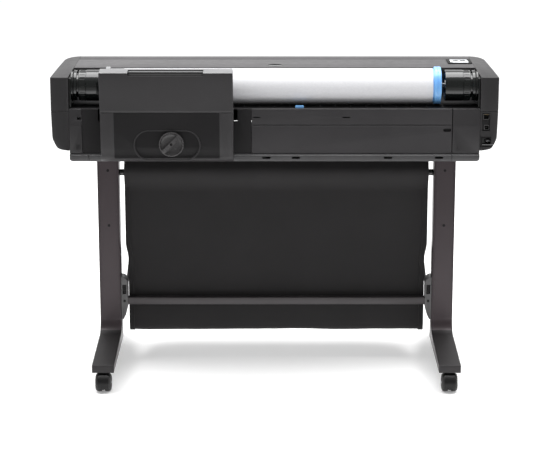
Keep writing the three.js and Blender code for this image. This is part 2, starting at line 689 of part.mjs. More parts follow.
function buildCaster(stand, corner, x, y) {
  const caster = new THREE.Group();
  caster.position.set(x, y, 0);
  caster.rotation.z = y > 0 ? Math.PI : 0;
  stand.add(caster);
  addPart(caster, `caster_fork_${corner}`, casterFork(), darkPlastic());
  addPart(caster, `caster_wheels_${corner}`, casterWheels(), finish(0x2a282a, 0.7));
}

function buildStand(stand) {
  const legX = (LEG.inner + LEG.outer) / 2;
  addPart(stand, 'leg_left', mirrorX(leg()), legPaint());
  addPart(stand, 'leg_right', leg(), legPaint());
  addPart(stand, 'crossbar', crossbar(), legPaint());
  addPart(stand, 'bar_bracket_left', mirrorX(barBracket()), casing());
  addPart(stand, 'bar_bracket_right', barBracket(), casing());
  addPart(stand, 'bin_rod', binRod(), darkPlastic());
  addPart(stand, 'bin_frame', binFrame(), darkPlastic());
  addPart(stand, 'bin_fabric', binFabric(), finish(0x232122, 0.9));
  buildCaster(stand, 'rear_left', -legX, CASTER_REAR_Y);
  buildCaster(stand, 'rear_right', legX, CASTER_REAR_Y);
  buildCaster(stand, 'front_left', -CASTER_FRONT.x, CASTER_FRONT.y);
  buildCaster(stand, 'front_right', CASTER_FRONT.x, CASTER_FRONT.y);
}

// ---------- assembly ----------
const plotter = new THREE.Group();
const printer = new THREE.Group();
const stand = new THREE.Group();
printer.position.y = REAR_Y;
stand.position.set(STAND_X, REAR_Y, 0);
plotter.add(printer, stand);
buildCasing(printer);
buildControls(printer);
buildSpindle(printer);
buildEngine(printer);
buildFeeder(printer);
buildStand(stand);

export default plotter;
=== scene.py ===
"""Looks of the large format plotter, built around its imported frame.

The builders work in millimetres: x to the right of the middle of what is being built, y forward
from the printer's rear plane, z up from the floor. finish_piece() turns them into the frame's
metres. Places come from the CAD nodes' boxes and the joints. Numbers inside an outline are the
offsets that give it its shape.
"""
import json
import math

import bmesh
import bpy
from mathutils import Matrix, Vector, noise

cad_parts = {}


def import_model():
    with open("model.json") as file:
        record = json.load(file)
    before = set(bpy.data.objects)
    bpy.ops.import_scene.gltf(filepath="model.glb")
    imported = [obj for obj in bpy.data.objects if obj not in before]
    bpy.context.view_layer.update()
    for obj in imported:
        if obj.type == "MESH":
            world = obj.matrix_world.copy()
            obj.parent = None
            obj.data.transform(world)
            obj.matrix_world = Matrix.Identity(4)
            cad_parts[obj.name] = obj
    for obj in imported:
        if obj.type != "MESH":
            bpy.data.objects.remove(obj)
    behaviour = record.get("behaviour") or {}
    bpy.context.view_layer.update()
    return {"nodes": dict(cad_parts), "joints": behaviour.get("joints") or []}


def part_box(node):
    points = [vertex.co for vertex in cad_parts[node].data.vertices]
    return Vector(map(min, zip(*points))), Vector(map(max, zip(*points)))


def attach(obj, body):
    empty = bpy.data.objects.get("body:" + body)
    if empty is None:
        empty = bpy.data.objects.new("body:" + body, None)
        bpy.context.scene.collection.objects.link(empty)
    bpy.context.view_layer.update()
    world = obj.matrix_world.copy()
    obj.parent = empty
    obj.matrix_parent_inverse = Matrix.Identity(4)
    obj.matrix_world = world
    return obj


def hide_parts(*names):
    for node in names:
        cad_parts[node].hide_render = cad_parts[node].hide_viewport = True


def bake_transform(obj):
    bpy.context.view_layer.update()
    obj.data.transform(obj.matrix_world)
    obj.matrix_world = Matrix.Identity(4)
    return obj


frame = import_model()

MM = 0.001
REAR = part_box("rear_panel")[0].y
JOINTS = {joint["name"]: joint for joint in frame["joints"]}
CORNERS = ("rear_left", "rear_right", "front_left", "front_right")
SIDES = ((-1, "left"), (1, "right"))
# Middle of the assembly being built: the stand sits off the printer's middle.
MIDDLE = {"x": 0.0}

# Stand, in millimetres.
COLUMN_REAR, COLUMN_FRONT = 85.0, 140.0
FOOT_TOP = 84.0
FOOT_TAPER = 22.0
# Below this height the leg gets a darker copy of its paint: painted shade.
FOOT_SHADE_TOP = 105.0
FRONT_ROD = (345.0, 300.0)
CLOTH_COLUMNS = 112
HEM_WIDTH = 15.0
# Roll and spindle, in millimetres.
SHAFT_BORE = 8.3
ROLL_RADIUS, ROLL_BORE = 50.0, 26.0
DRUM_RADIUS = 45.9
COLLAR_RADIUS, FLANGE_RADIUS = 49.5, 55.5

# Camera and studio, in metres and watts.
CAMERA_PLACE, CAMERA_TILT, CAMERA_LENS = (0.0012, REAR - 5.5032, 1.8249), 76, 124.36
OVERHEAD = {"place": (0, 0.30, 3.0), "target": (0, 0.30, 0), "size": (5.0, 2.0), "power": 180}
FRONT_FILL = {"place": (0.6, -3.6, 3.4), "target": (0, 0, 0.5), "size": (2.6, 1.6), "power": 6}
LOW_FILL = {"place": (0, -3.8, 0.35), "target": (0, 0, 0.8), "size": (3.0, 0.8), "power": 15}
# Brightness of the sky behind the photographer, behind the printer and what the zenith adds.
FRONT_SKY, BACK_SKY, CEILING = 0.27, 1.05, 0.4
FLOOR_NEAR, FLOOR_FAR, FLOOR_GLOW = 0.92, 0.32, 0.25
# The floor pales between these distances in front of the printer.
FLOOR_FADE = (-1.9, -0.95)
FLOOR_REACH = 30


# ---------------------------------------------------------------- frame helpers
def box_mm(node):
    """A CAD node's corners in the builders' millimetres."""
    low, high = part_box(node)
    shift = Vector((MIDDLE["x"] * MM, REAR, 0))
    return (low - shift) / MM, (high - shift) / MM


def joint_mm(name):
    """A hinge's point in the builders' millimetres."""
    return (Vector(JOINTS[name]["pos_m"]) - Vector((MIDDLE["x"] * MM, REAR, 0))) / MM


def axis_middle(name):
    """The middle of a hinge that runs along x."""
    pivot = joint_mm(name)
    return (0, pivot.y, pivot.z)


# ---------------------------------------------------------------- materials
class Shader:
    """A Principled material and short calls that add nodes to it."""

    def __init__(self, name, roughness, metallic=0.0, specular=0.5):
        self.material = bpy.data.materials.new(name)
        self.material.use_nodes = True
        self.tree = self.material.node_tree
        self.surface = self.tree.nodes["Principled BSDF"]
        self.surface.inputs["Roughness"].default_value = roughness
        self.surface.inputs["Metallic"].default_value = metallic
        self.surface.inputs["Specular IOR Level"].default_value = specular
        self.place = self.add("ShaderNodeTexCoord").outputs["Object"]

    def add(self, kind, **settings):
        """Adds a node; settings are its inputs or its own options."""
        node = self.tree.nodes.new(kind)
        for key, value in settings.items():
            if key in node.inputs:
                node.inputs[key].default_value = value
            else:
                setattr(node, key, value)
        return node

    def link(self, source, target):
        """Joins an output to an input."""
        self.tree.links.new(source, target)

    def stretched(self, scale):
        """The place on the piece, scaled unevenly."""
        mapping = self.add("ShaderNodeMapping", Scale=scale)
        self.link(self.place, mapping.inputs["Vector"])
        return mapping.outputs["Vector"]

    def noise(self, scale, detail=3.0, stretch=None):
        """Soft blotches."""
        node = self.add("ShaderNodeTexNoise", Scale=scale, Detail=detail)
        self.link(self.stretched(stretch) if stretch else self.place, node.inputs["Vector"])
        return node.outputs["Fac"]

    def cells(self, scale):
        """Distance to the nearest of scattered points."""
        node = self.add("ShaderNodeTexVoronoi", Scale=scale)
        self.link(self.place, node.inputs["Vector"])
        return node.outputs["Distance"]

    def bands(self, scale, direction, distortion=0.0):
        """Waves along one axis."""
        node = self.add("ShaderNodeTexWave", Scale=scale, Distortion=distortion)
        node.bands_direction = direction
        self.link(self.place, node.inputs["Vector"])
        return node.outputs["Fac"]

    def math(self, operation, first, second):
        """One sum on two values, each a number or an output."""
        node = self.add("ShaderNodeMath", operation=operation)
        for index, value in enumerate((first, second)):
            if isinstance(value, (int, float)):
                node.inputs[index].default_value = value
            else:
                self.link(value, node.inputs[index])
        return node.outputs["Value"]

    def spread(self, source, low, high):
        """Turns 0 to 1 into low to high."""
        node = self.add("ShaderNodeMapRange")
        node.inputs["To Min"].default_value = low
        node.inputs["To Max"].default_value = high
        self.link(source, node.inputs["Value"])
        return node.outputs["Result"]

    def ramp(self, source, stops):
        """Colours by value."""
        node = self.add("ShaderNodeValToRGB")
        while len(node.color_ramp.elements) < len(stops):
            node.color_ramp.elements.new(0.5)
        for element, (position, color) in zip(node.color_ramp.elements, stops):
            element.position = position
            element.color = (*color, 1)
        self.link(source, node.inputs["Fac"])
        return node.outputs["Color"]

    def color(self, source):
        """Sets the base colour."""
        self.link(source, self.surface.inputs["Base Color"])

    def roughness(self, source):
        """Sets the roughness."""
        self.link(source, self.surface.inputs["Roughness"])

    def bump(self, height, strength, distance):
        """Sets the relief of the surface."""
        node = self.add("ShaderNodeBump", Strength=strength, Distance=distance)
        self.link(height, node.inputs["Height"])
        self.link(node.outputs["Normal"], self.surface.inputs["Normal"])


def tinted(color, factor):
    """A colour made darker or lighter."""
    return tuple(min(1.0, channel * factor) for channel in color)


def moulded(name, color, roughness, texture, specular):
    """Spark-textured moulded plastic: fine cells, faint blotches, paler rubbed edges, and painted shade
    darkening its creases and hollows.
    """
    shader = Shader(name, roughness, specular=specular)
    blotch = shader.noise(5.0, 4.0)
    edges = shader.add("ShaderNodeNewGeometry").outputs["Pointiness"]
    # Pointiness: convex edges turn paler as rubbed wear, hollows and creases turn darker as painted shade.
    edge_wear_and_crease_shade = shader.spread(edges, -4.6, 5.6)
    mixed = shader.math("ADD", shader.math("MULTIPLY", blotch, 0.7), shader.math("MULTIPLY", edge_wear_and_crease_shade, 0.3))
    shader.color(shader.ramp(mixed, [(0.2, tinted(color, 0.84)), (0.6, color), (0.95, tinted(color, 1.5))]))
    shader.roughness(shader.spread(shader.noise(38.0), roughness - 0.06, roughness + 0.07))
    grain = shader.math("ADD", shader.cells(1500.0), shader.noise(2600.0, 2.0))
    shader.bump(grain, texture, 0.0003)
    return shader.material


def polished(name, color, roughness):
    """Glossy plastic with faint rub marks."""
    shader = Shader(name, roughness)
    shader.color(shader.ramp(shader.noise(9.0), [(0.3, tinted(color, 0.85)), (0.8, tinted(color, 1.25))]))
    marks = shader.noise(60.0, 5.0, stretch=(1.0, 6.0, 6.0))
    shader.roughness(shader.spread(marks, roughness * 0.75, roughness * 1.35))
    shader.bump(shader.noise(240.0), 0.02, 0.0002)
    shader.surface.inputs["Coat Weight"].default_value = 0.35
    shader.surface.inputs["Coat Roughness"].default_value = 0.08
    return shader.material


def powder_coat(name, color, roughness):
    """Painted steel with a fine orange-peel skin."""
    shader = Shader(name, roughness, metallic=0.25)
    tone = shader.noise(3.2, 5.0)
    shader.color(shader.ramp(tone, [(0.3, tinted(color, 0.88)), (0.7, tinted(color, 1.12))]))
    shader.roughness(shader.spread(shader.noise(25.0), roughness - 0.05, roughness + 0.06))
    shader.bump(shader.noise(1100.0, 3.0), 0.12, 0.0003)
    return shader.material


def metal(name, color, roughness):
    """Rolled or ground metal whose grain runs along X."""
    shader = Shader(name, roughness, metallic=1.0)
    streaks = shader.noise(1.0, 6.0, stretch=(2.0, 260.0, 260.0))
    shader.color(shader.ramp(streaks, [(0.25, tinted(color, 0.8)), (0.75, tinted(color, 1.15))]))
    shader.roughness(shader.spread(streaks, roughness * 0.8, roughness * 1.3))
    shader.bump(streaks, 0.06, 0.0002)
    return shader.material


def rubber(name, color, roughness):
    """Dull rubber with a faint bloom."""
    shader = Shader(name, roughness)
    bloom = shader.noise(30.0, 5.0)
    shader.color(shader.ramp(bloom, [(0.3, tinted(color, 0.8)), (0.75, tinted(color, 1.35))]))
    shader.roughness(shader.spread(shader.noise(90.0), roughness - 0.1, roughness + 0.08))
    shader.bump(shader.noise(1600.0, 3.0), 0.25, 0.0003)
    return shader.material


def woven(name, color):
    """Plain-weave nylon: crossed threads, slight fuzz, uneven dye."""
    shader = Shader(name, 0.82)
    warp = shader.bands(420.0, "X")
    weft = shader.bands(420.0, "Z")
    weave = shader.math("MAXIMUM", warp, weft)
    fuzz = shader.noise(900.0, 4.0)
    dye = shader.math("MULTIPLY", shader.noise(6.0, 5.0), 0.65)
    tone = shader.math("ADD", shader.math("MULTIPLY", weave, 0.35), dye)
    shader.color(shader.ramp(tone, [(0.25, tinted(color, 0.7)), (0.8, tinted(color, 1.35))]))
    shader.bump(shader.math("ADD", weave, shader.math("MULTIPLY", fuzz, 0.4)), 0.35, 0.0004)
    shader.surface.inputs["Sheen Weight"].default_value = 0.12
    shader.surface.inputs["Sheen Roughness"].default_value = 0.5
    return shader.material


def paper_face(name):
    """Uncoated bond paper: faint fibres and a slight waviness."""
    shader = Shader(name, 0.72)
    fibres = shader.noise(420.0, 6.0, stretch=(0.35, 1.0, 1.0))
    shader.color(shader.ramp(fibres, [(0.3, (0.73, 0.73, 0.755)), (0.7, (0.79, 0.79, 0.81))]))
    shader.bump(shader.math("ADD", fibres, shader.noise(14.0)), 0.05, 0.0003)
    return shader.material


def paper_edge(name, centre):
    """Edges of the wound sheets: fine rings about the roll's axis."""
    shader = Shader(name, 0.8)
    offset = shader.add("ShaderNodeMapping")
    offset.inputs["Location"].default_value = (0, -centre[0], -centre[1])
    offset.inputs["Scale"].default_value = (0, 1, 1)
    shader.link(shader.place, offset.inputs["Vector"])
    distance = shader.add("ShaderNodeVectorMath", operation="LENGTH")
    shader.link(offset.outputs["Vector"], distance.inputs[0])
    rings = shader.math("SINE", shader.math("MULTIPLY", distance.outputs["Value"], 9000.0), 0.0)
    shades = [(0.2, (0.62, 0.61, 0.60)), (0.8, (0.84, 0.83, 0.82))]
    shader.color(shader.ramp(shader.spread(rings, 0.0, 1.0), shades))
    shader.bump(rings, 0.2, 0.0003)
    return shader.material


def circuit(name):
    """Solder mask over fine copper tracks."""
    shader = Shader(name, 0.35)
    bricks = shader.add("ShaderNodeTexBrick", Scale=160.0)
    bricks.inputs["Color1"].default_value = (0.012, 0.09, 0.03, 1)
    bricks.inputs["Color2"].default_value = (0.016, 0.12, 0.04, 1)
    bricks.inputs["Mortar"].default_value = (0.04, 0.2, 0.08, 1)
    shader.link(shader.stretched((1.0, 1.0, 1.6)), bricks.inputs["Vector"])
    shader.color(bricks.outputs["Color"])
    shader.bump(bricks.outputs["Fac"], 0.2, 0.0002)
    return shader.material


def screen_glow(name):
    """Lit display: pale, very slightly uneven backlight under smooth glass."""
    shader = Shader(name, 0.08)
    glow = shader.ramp(shader.noise(22.0), [(0.3, (0.70, 0.73, 0.76)), (0.7, (0.80, 0.82, 0.84))])
    shader.color(glow)
    shader.link(glow, shader.surface.inputs["Emission Color"])
    shader.surface.inputs["Emission Strength"].default_value = 0.35
    return shader.material


# Moulded plastics: name in the file, colour, roughness, texture, specular.
PLASTICS = {
    "casing": ("casing_plastic", (0.030, 0.0285, 0.030), 0.42, 0.16, 0.32),
    "end_casing": ("end_plastic", (0.026, 0.025, 0.026), 0.42, 0.16, 0.25),
    "end_cover": ("end_cover_plastic", (0.034, 0.033, 0.034), 0.42, 0.16, 0.14),
    # Pale grey standing in for light: a painted highlight on the feeder cover's top and the inlet's ledge.
    "painted_highlight": ("painted_highlight_plastic", (0.15, 0.15, 0.153), 0.3, 0.05, 0.4),
    # Painted highlight on the upward faces of the tray's flange.
    "tray_painted_highlight": ("tray_painted_highlight_plastic", (0.10, 0.10, 0.102), 0.34, 0.05, 0.4),
    # Near black standing in for shade: painted shade on the feeder's sunk panel and on the rear panel behind
    # the feeder; also the display icons' own dark print.
    "recess": ("painted_shade_and_icon_plastic", (0.0105, 0.0098, 0.0105), 0.5, 0.16, 0.2),
    # Paler than the casing: a painted highlight on the up-facing rear strip; also the own tone of the
    # brackets' ratchet teeth.
    "strip": ("strip_highlight_and_ratchet_plastic", (0.054, 0.053, 0.055), 0.4, 0.16, 0.4),
    "top_casing": ("top_plastic", (0.029, 0.027, 0.029), 0.36, 0.08, 0.32),
    "dark_plastic": ("black_plastic", (0.010, 0.0095, 0.010), 0.5, 0.16, 0.25),
    "panel_frame": ("panel_frame_plastic", (0.004, 0.004, 0.004), 0.5, 0.05, 0.12),
    "knob": ("knob_plastic", (0.050, 0.048, 0.049), 0.26, 0.04, 0.4),
    "bracket": ("bracket_plastic", (0.105, 0.103, 0.105), 0.4, 0.16, 0.4),
    "hood": ("caster_hood_plastic", (0.005, 0.0047, 0.005), 0.4, 0.08, 0.3),
    "foot_cap": ("foot_cap_plastic", (0.026, 0.024, 0.025), 0.46, 0.16, 0.25),
}
# Colours of the labels on the ink cartridges.
INKS = {"cyan": (0.0, 0.30, 0.62), "magenta": (0.55, 0.01, 0.20), "yellow": (0.80, 0.58, 0.01),
        "black": (0.012, 0.012, 0.013)}
# Every look but the moulded plastics: maker, name in the file, then its own arguments.
OTHER_LOOKS = {
    "gloss_black": (polished, "gloss_black_plastic", (0.0030, 0.0042, 0.0038), 0.1),
    "hub_blue": (polished, "blue_hub_plastic", (0.20, 0.49, 0.98), 0.3),
    "hub_pale": (polished, "pale_hub_plastic", (0.20, 0.205, 0.21), 0.3),
    "ink_cartridge": (polished, "cartridge_plastic", (0.03, 0.03, 0.033), 0.3),
    "frame_paint": (powder_coat, "frame_powder_coat", (0.010, 0.010, 0.010), 0.5),
    "leg_paint": (powder_coat, "leg_powder_coat", (0.041, 0.0305, 0.034), 0.36),
    # Darker copy of the leg paint: painted shade on the feet.
    "foot_painted_shade": (powder_coat, "foot_powder_coat", (0.012, 0.0102, 0.0108), 0.55),
    "crossbar": (powder_coat, "crossbar_powder_coat", (0.050, 0.045, 0.047), 0.36),
    "steel": (metal, "sheet_steel", (0.36, 0.36, 0.37), 0.32),
    "roller_metal": (metal, "ground_aluminium", (0.62, 0.62, 0.64), 0.24),
    "socket_metal": (metal, "plated_shell", (0.42, 0.42, 0.43), 0.28),
    "gold": (metal, "gold_contacts", (0.80, 0.58, 0.25), 0.25),
    "roller_rubber": (rubber, "roller_rubber", (0.025, 0.025, 0.026), 0.7),
    "caster_tyre": (rubber, "caster_tread", (0.013, 0.012, 0.0125), 0.55),
    "bin_cloth": (woven, "bin_nylon", (0.0085, 0.0074, 0.0079)),
    "thread": (woven, "stitching_thread", (0.03, 0.028, 0.029)),
    "paper": (paper_face, "bond_paper"),
    "circuit_board": (circuit, "circuit_board"),
    "screen": (screen_glow, "display_glass"),
}
MATERIALS = {key: moulded(*look) for key, look in PLASTICS.items()}
MATERIALS.update({key: maker(*look) for key, (maker, *look) in OTHER_LOOKS.items()})


# ---------------------------------------------------------------- mesh helpers (millimetres)
def bevelled(bm, width, segments=2, angle=30.0):
    """Rounds every edge sharper than the angle."""
    bmesh.ops.recalc_face_normals(bm, faces=bm.faces)
    if width:
        limit = math.radians(angle)
        edges = [e for e in bm.edges if len(e.link_faces) == 2 and e.calc_face_angle() > limit]
        bmesh.ops.bevel(bm, geom=edges, offset=width, segments=segments, profile=0.5,
                        affect="EDGES", clamp_overlap=True)
    return bm


def loft(rings, close=True, caps=True):
    """Joins rings of points, each with the same count, into a skin."""
    bm = bmesh.new()
    loops = [[bm.verts.new(point) for point in ring] for ring in rings]
    count = len(rings[0])
    for first, second in zip(loops, loops[1:]):
        for i in range(count if close else count - 1):
            j = (i + 1) % count
            bm.faces.new((first[i], first[j], second[j], second[i]))
    if caps:
        bm.faces.new(loops[0])
        bm.faces.new(list(reversed(loops[-1])))
    bmesh.ops.recalc_face_normals(bm, faces=bm.faces)
    return bm


AXES = {
    "X": lambda u, v, w: (w, u, v),
    "Y": lambda u, v, w: (u, w, v),
    "Z": lambda u, v, w: (u, v, w),
}


def prism(outline, axis, low, high, bevel=0.8, segments=2):
    """A closed outline carried along an axis: (y, z) for X, (x, z) for Y, (x, y) for Z."""
    place = AXES[axis]
    rings = [[place(u, v, w) for u, v in outline] for w in (low, high)]
    return bevelled(loft(rings), bevel, segments)


def block(x0, x1, y0, y1, z0, z1, bevel=0.8, segments=2):
    """A box with rounded edges."""
    return prism([(x0, y0), (x1, y0), (x1, y1), (x0, y1)], "Z", z0, z1, bevel, segments)


def cutter(x0, x1, y0, y1, z0, z1):
    """A sharp box to cut with."""
    return block(x0, x1, y0, y1, z0, z1, bevel=0)


def arc(centre, radius, start, end, steps=8):
    """Points on an arc, angles in degrees."""
    points = []
    for i in range(steps + 1):
        angle = math.radians(start + (end - start) * i / steps)
        points.append((centre[0] + radius * math.cos(angle), centre[1] + radius * math.sin(angle)))
    return points


def rounded(u0, u1, v0, v1, radius, steps=6):
    """A rectangle with round corners."""
    return (arc((u1 - radius, v0 + radius), radius, -90, 0, steps)
            + arc((u1 - radius, v1 - radius), radius, 0, 90, steps)
            + arc((u0 + radius, v1 - radius), radius, 90, 180, steps)
            + arc((u0 + radius, v0 + radius), radius, 180, 270, steps))


def smoothstep(value):
    """Eases from 0 to 1, and stays there outside that range."""
    value = max(0.0, min(1.0, value))
    return value * value * (3 - 2 * value)


def bezier(p0, p1, p2, p3, steps):
    """Points along a cubic curve, without its first one."""
    points = []
    for i in range(1, steps + 1):
        t = i / steps
        points.append(tuple(
            (1 - t) ** 3 * a + 3 * (1 - t) ** 2 * t * b + 3 * (1 - t) * t * t * c + t ** 3 * d
            for a, b, c, d in zip(p0, p1, p2, p3)))
    return points


def resampled(path, step):
    """The same line with even steps, and its length."""
    lengths = [0.0]
    for (y0, z0), (y1, z1) in zip(path, path[1:]):
        lengths.append(lengths[-1] + math.hypot(y1 - y0, z1 - z0))
    total = lengths[-1]
    count = round(total / step)
    points, segment = [], 0
    for i in range(count + 1):
        target = total * i / count
        while segment < len(path) - 2 and lengths[segment + 1] < target:
            segment += 1
        span = lengths[segment + 1] - lengths[segment]
        share = (target - lengths[segment]) / span if span else 0.0
        (y0, z0), (y1, z1) = path[segment], path[segment + 1]
        points.append((y0 + (y1 - y0) * share, z0 + (z1 - z0) * share))
    return points, total


def lathe(profile, axis, centre, steps=64):
    """Turns a closed profile of (along, radius) corners about an axis through the centre."""
    rings = []
    for i in range(steps):
        angle = 2 * math.pi * i / steps
        u, v = math.cos(angle), math.sin(angle)
        rings.append([AXES[axis](radius * u, radius * v, along) for along, radius in profile])
    bm = loft(rings + [rings[0]], caps=False)
    bmesh.ops.translate(bm, vec=centre, verts=bm.verts)
    bmesh.ops.remove_doubles(bm, verts=bm.verts, dist=1e-4)
    bmesh.ops.recalc_face_normals(bm, faces=bm.faces)
    return bm


def disc(radius, low, high, axis, centre, edge=0.6, steps=48):
    """A solid round with softened rims."""
    part = edge * 0.3
    profile = [(low, 0), (low, radius - edge), (low + part, radius - part), (low + edge, radius),
               (high - edge, radius), (high - part, radius - part), (high, radius - edge), (high, 0)]
    return lathe(profile, axis, centre, steps)


def loft_ring(outline, width, front, back):
    """A thin round-edged frame standing on an outline in the (x, z) plane."""
    middle = Vector([sum(values) / len(outline) for values in zip(*outline)])
    aways = [(Vector(point) - middle).normalized() for point in outline]
    sizes = ((0.0, front + 0.4), (width * 0.3, front), (width * 0.7, front), (width, front + 0.4),
             (width, back), (0.0, back))
    rings = [[(u + away.x * amount, y, v + away.y * amount) for (u, v), away in zip(outline, aways)]
             for amount, y in sizes]
    return loft(rings + [rings[0]], caps=False)


def slot_cutter(x0, x1, z0, z1, radius, y0, y1):
    """A round-cornered opening to cut from rear to front."""
    return prism(rounded(x0, x1, z0, z1, radius), "Y", y0, y1, bevel=0)


def merged(*parts):
    """Several meshes as one."""
    whole = bmesh.new()
    for part in parts:
        mesh = bpy.data.meshes.new("part")
        part.to_mesh(mesh)
        part.free()
        whole.from_mesh(mesh)
        bpy.data.meshes.remove(mesh)
    return whole


def moved(bm, offset=(0, 0, 0), turn=None):
    """Turns a mesh (angle in degrees, axis) about the origin, then shifts it."""
    if turn:
        rotation = Matrix.Rotation(math.radians(turn[0]), 4, turn[1])
        bmesh.ops.transform(bm, matrix=rotation, verts=bm.verts)
    bmesh.ops.translate(bm, vec=offset, verts=bm.verts)
    return bm


def mirrored(bm):
    """Turns a right-hand mesh into its left-hand twin, in place."""
    bmesh.ops.scale(bm, vec=(-1, 1, 1), verts=bm.verts)
    bmesh.ops.reverse_faces(bm, faces=bm.faces)
    return bm


def handed(side, *parts):
    """Mirrors the meshes of a left-hand piece, whose side is -1."""
    for part in parts if side < 0 else ():
        mirrored(part)


def plain_object(name, bm):
    """An object in the scene from a mesh that is used up."""
    mesh = bpy.data.meshes.new(name)
    bm.to_mesh(mesh)
    bm.free()
    obj = bpy.data.objects.new(name, mesh)
    bpy.context.scene.collection.objects.link(obj)
    return obj


def cut(bm, *cutters):
    """Takes closed cutter meshes out of a mesh."""
    base = plain_object("cut_base", bm)
    tools = [plain_object("cut_tool", closed) for closed in cutters]
    for tool in tools:
        modifier = base.modifiers.new("cut", "BOOLEAN")
        modifier.operation = "DIFFERENCE"
        modifier.solver = "EXACT"
        modifier.object = tool
    graph = bpy.context.evaluated_depsgraph_get()
    result = bmesh.new()
    mesh = bpy.data.meshes.new_from_object(base.evaluated_get(graph))
    result.from_mesh(mesh)
    for obj in [base, *tools]:
        data = obj.data
        bpy.data.objects.remove(obj)
        bpy.data.meshes.remove(data)
    bpy.data.meshes.remove(mesh)
    return result


def finish_piece(name, bm, material, body="root", replaces=(), sharp=32.0):
    """Makes the object, shades it, puts it in metres and lets it ride on its body."""
    to_frame = Matrix.Translation((MIDDLE["x"] * MM, REAR, 0)) @ Matrix.Scale(MM, 4)
    bmesh.ops.transform(bm, matrix=to_frame, verts=bm.verts)
    bm.normal_update()
    obj = plain_object(name, bm)
    obj.data.shade_smooth()
    obj.data.set_sharp_from_angle(angle=math.radians(sharp))
    obj.data.materials.append(MATERIALS[material])
    if body:
        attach(obj, body)
    if replaces:
        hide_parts(*replaces)
    return obj


def two_tone(obj, second, chosen):
    """Gives the faces picked by chosen(face) a second material."""
    obj.data.materials.append(MATERIALS[second])
    for face in obj.data.polygons:
        if chosen(face):
            face.material_index = 1


def refined(node, material, bevel=0.6, body="root"):
    """A CAD node's own shape with its flat faces joined up and its edges rounded."""
    bm = bmesh.new()
    bm.from_mesh(frame["nodes"][node].data)
    to_builder = Matrix.Scale(1 / MM, 4) @ Matrix.Translation((0, -REAR, 0))
    bmesh.ops.transform(bm, matrix=to_builder, verts=bm.verts)
    bmesh.ops.remove_doubles(bm, verts=bm.verts, dist=0.01)
    bmesh.ops.dissolve_limit(bm, angle_limit=math.radians(1.0), verts=bm.verts, edges=bm.edges)
    bevelled(bm, bevel)
    return finish_piece(node + "_shell", bm, material, body, [node])


SCREW_TURN = {"rear": (90, "X"), "underside": (180, "X"), "front": (-90, "X")}


def screw_head(x, y, z, faces="rear", radius=3.2):
    """A pan-head screw with a cross recess, seated on the face at that point."""
    head = disc(radius, 0, 1.6, "Z", (0, 0, 0), edge=0.6, steps=20)
    slots = [cutter(-radius * 0.6, radius * 0.6, -0.45, 0.45, 0.7, 2.5),
             cutter(-0.45, 0.45, -radius * 0.6, radius * 0.6, 0.7, 2.5)]
    return moved(cut(head, *slots), (x, y, z), SCREW_TURN[faces])


# ---------------------------------------------------------------- printer casing
def rear_skin(proud=1.2, groove=True):
    """Section of a rear panel in the (y, z) plane: top lip, groove and a slightly proud lower half."""
    low, high = box_mm("rear_panel")
    seam = low.z + 85
    face = [(-proud, low.z + 0.5), (-proud, seam - 3.2), (-proud + 0.9, seam - 1.8)]
    face += [(1.7, seam - 1.2), (1.7, seam + 1.2), (0, seam + 2.0)] if groove else [(0, seam - 0.8)]
    return face + rear_skin_back(low, high)


def rear_skin_back(low, high):
    """Top lip and inner side that every rear panel's section ends with."""
    return arc((2.2, high.z - 2.4), 2.2, 180, 90, 4) + [
        (high.y, high.z - 0.2), (high.y, high.z - 3), (3, high.z - 3), (3, low.z + 0.5)]


def rear_panels():
    """Grooved centre panel, plain right panel, and the sunk left one behind the feeder, coloured near black
    as painted shade from the feeder, with its end.
    """
    low, high = box_mm("rear_panel")
    slot_low, slot_high = low.z + 106.4, low.z + 109.6
    centre = prism(rear_skin(), "X", low.x + 0.4, high.x - 1.2, bevel=0.35, segments=1)
    centre = cut(centre,
                 slot_cutter(high.x - 27, high.x - 3, low.z + 65, low.z + 75, 4.6, -4, 5),
                 slot_cutter(high.x - 324, high.x - 302, slot_low, slot_high, 1.4, -4, 5),
                 slot_cutter(low.x + 4, low.x + 26, slot_low, slot_high, 1.4, -4, 5))
    finish_piece("rear_panel_skin", centre, "casing", replaces=["rear_panel"])

    right_low, right_high = box_mm("rear_panel_right")
    right = prism(rear_skin(groove=False), "X", right_low.x + 1.2, right_high.x - 0.2, bevel=0.5)
    # Dark plate behind the seam between the panels: painted shade in the gap.
    shade = block(high.x - 32, right_low.x + 22, 5.2, 6.6, low.z + 2, high.z - 5, bevel=0.2)
    finish_piece("panel_seam_shade_plate", shade, "dark_plastic")
    right = cut(right, cutter(right_low.x + 15, right_low.x + 17, -4, 0.5, low.z + 12, low.z + 22))
    finish_piece("rear_panel_right_skin", right, "casing", replaces=["rear_panel_right"])

    left_low, left_high = box_mm("rear_panel_left")
    feeder_low, feeder_high = box_mm("feeder_housing")
    plain = [(0, low.z + 0.5), (0, high.z - 2.4)] + rear_skin_back(low, high)
    behind = prism(plain, "X", left_low.x + 38, left_high.x - 0.3, bevel=0.35, segments=1)
    hooks = [cutter(x, x + 11, -4, high.y + 1, high.z - 37, high.z + 1)
             for x in (feeder_low.x - 13, feeder_high.x + 1)]
    throat = cutter(feeder_low.x + 37, feeder_high.x - 39, -4, 5, 700, 722)
    # Near-black panel behind the feeder: painted shade cast by the feeder.
    finish_piece("rear_panel_left_skin", cut(behind, *hooks, throat), "recess",
                 replaces=["rear_panel_left"])
    end = prism(rear_skin(groove=False), "X", left_low.x + 0.2, left_low.x + 37.2, bevel=0.5)
    peg = slot_cutter(left_low.x + 24, left_low.x + 35, high.z - 33, high.z - 25, 2, -4, 5)
    vents = [cutter(left_low.x + 20, left_low.x + 33, -4, 0.4, first + step, first + step + 1.6)
             for first in (684, 777) for step in (0, 4, 8, 12)]
    finish_piece("rear_panel_left_end", cut(end, peg, *vents), "casing")


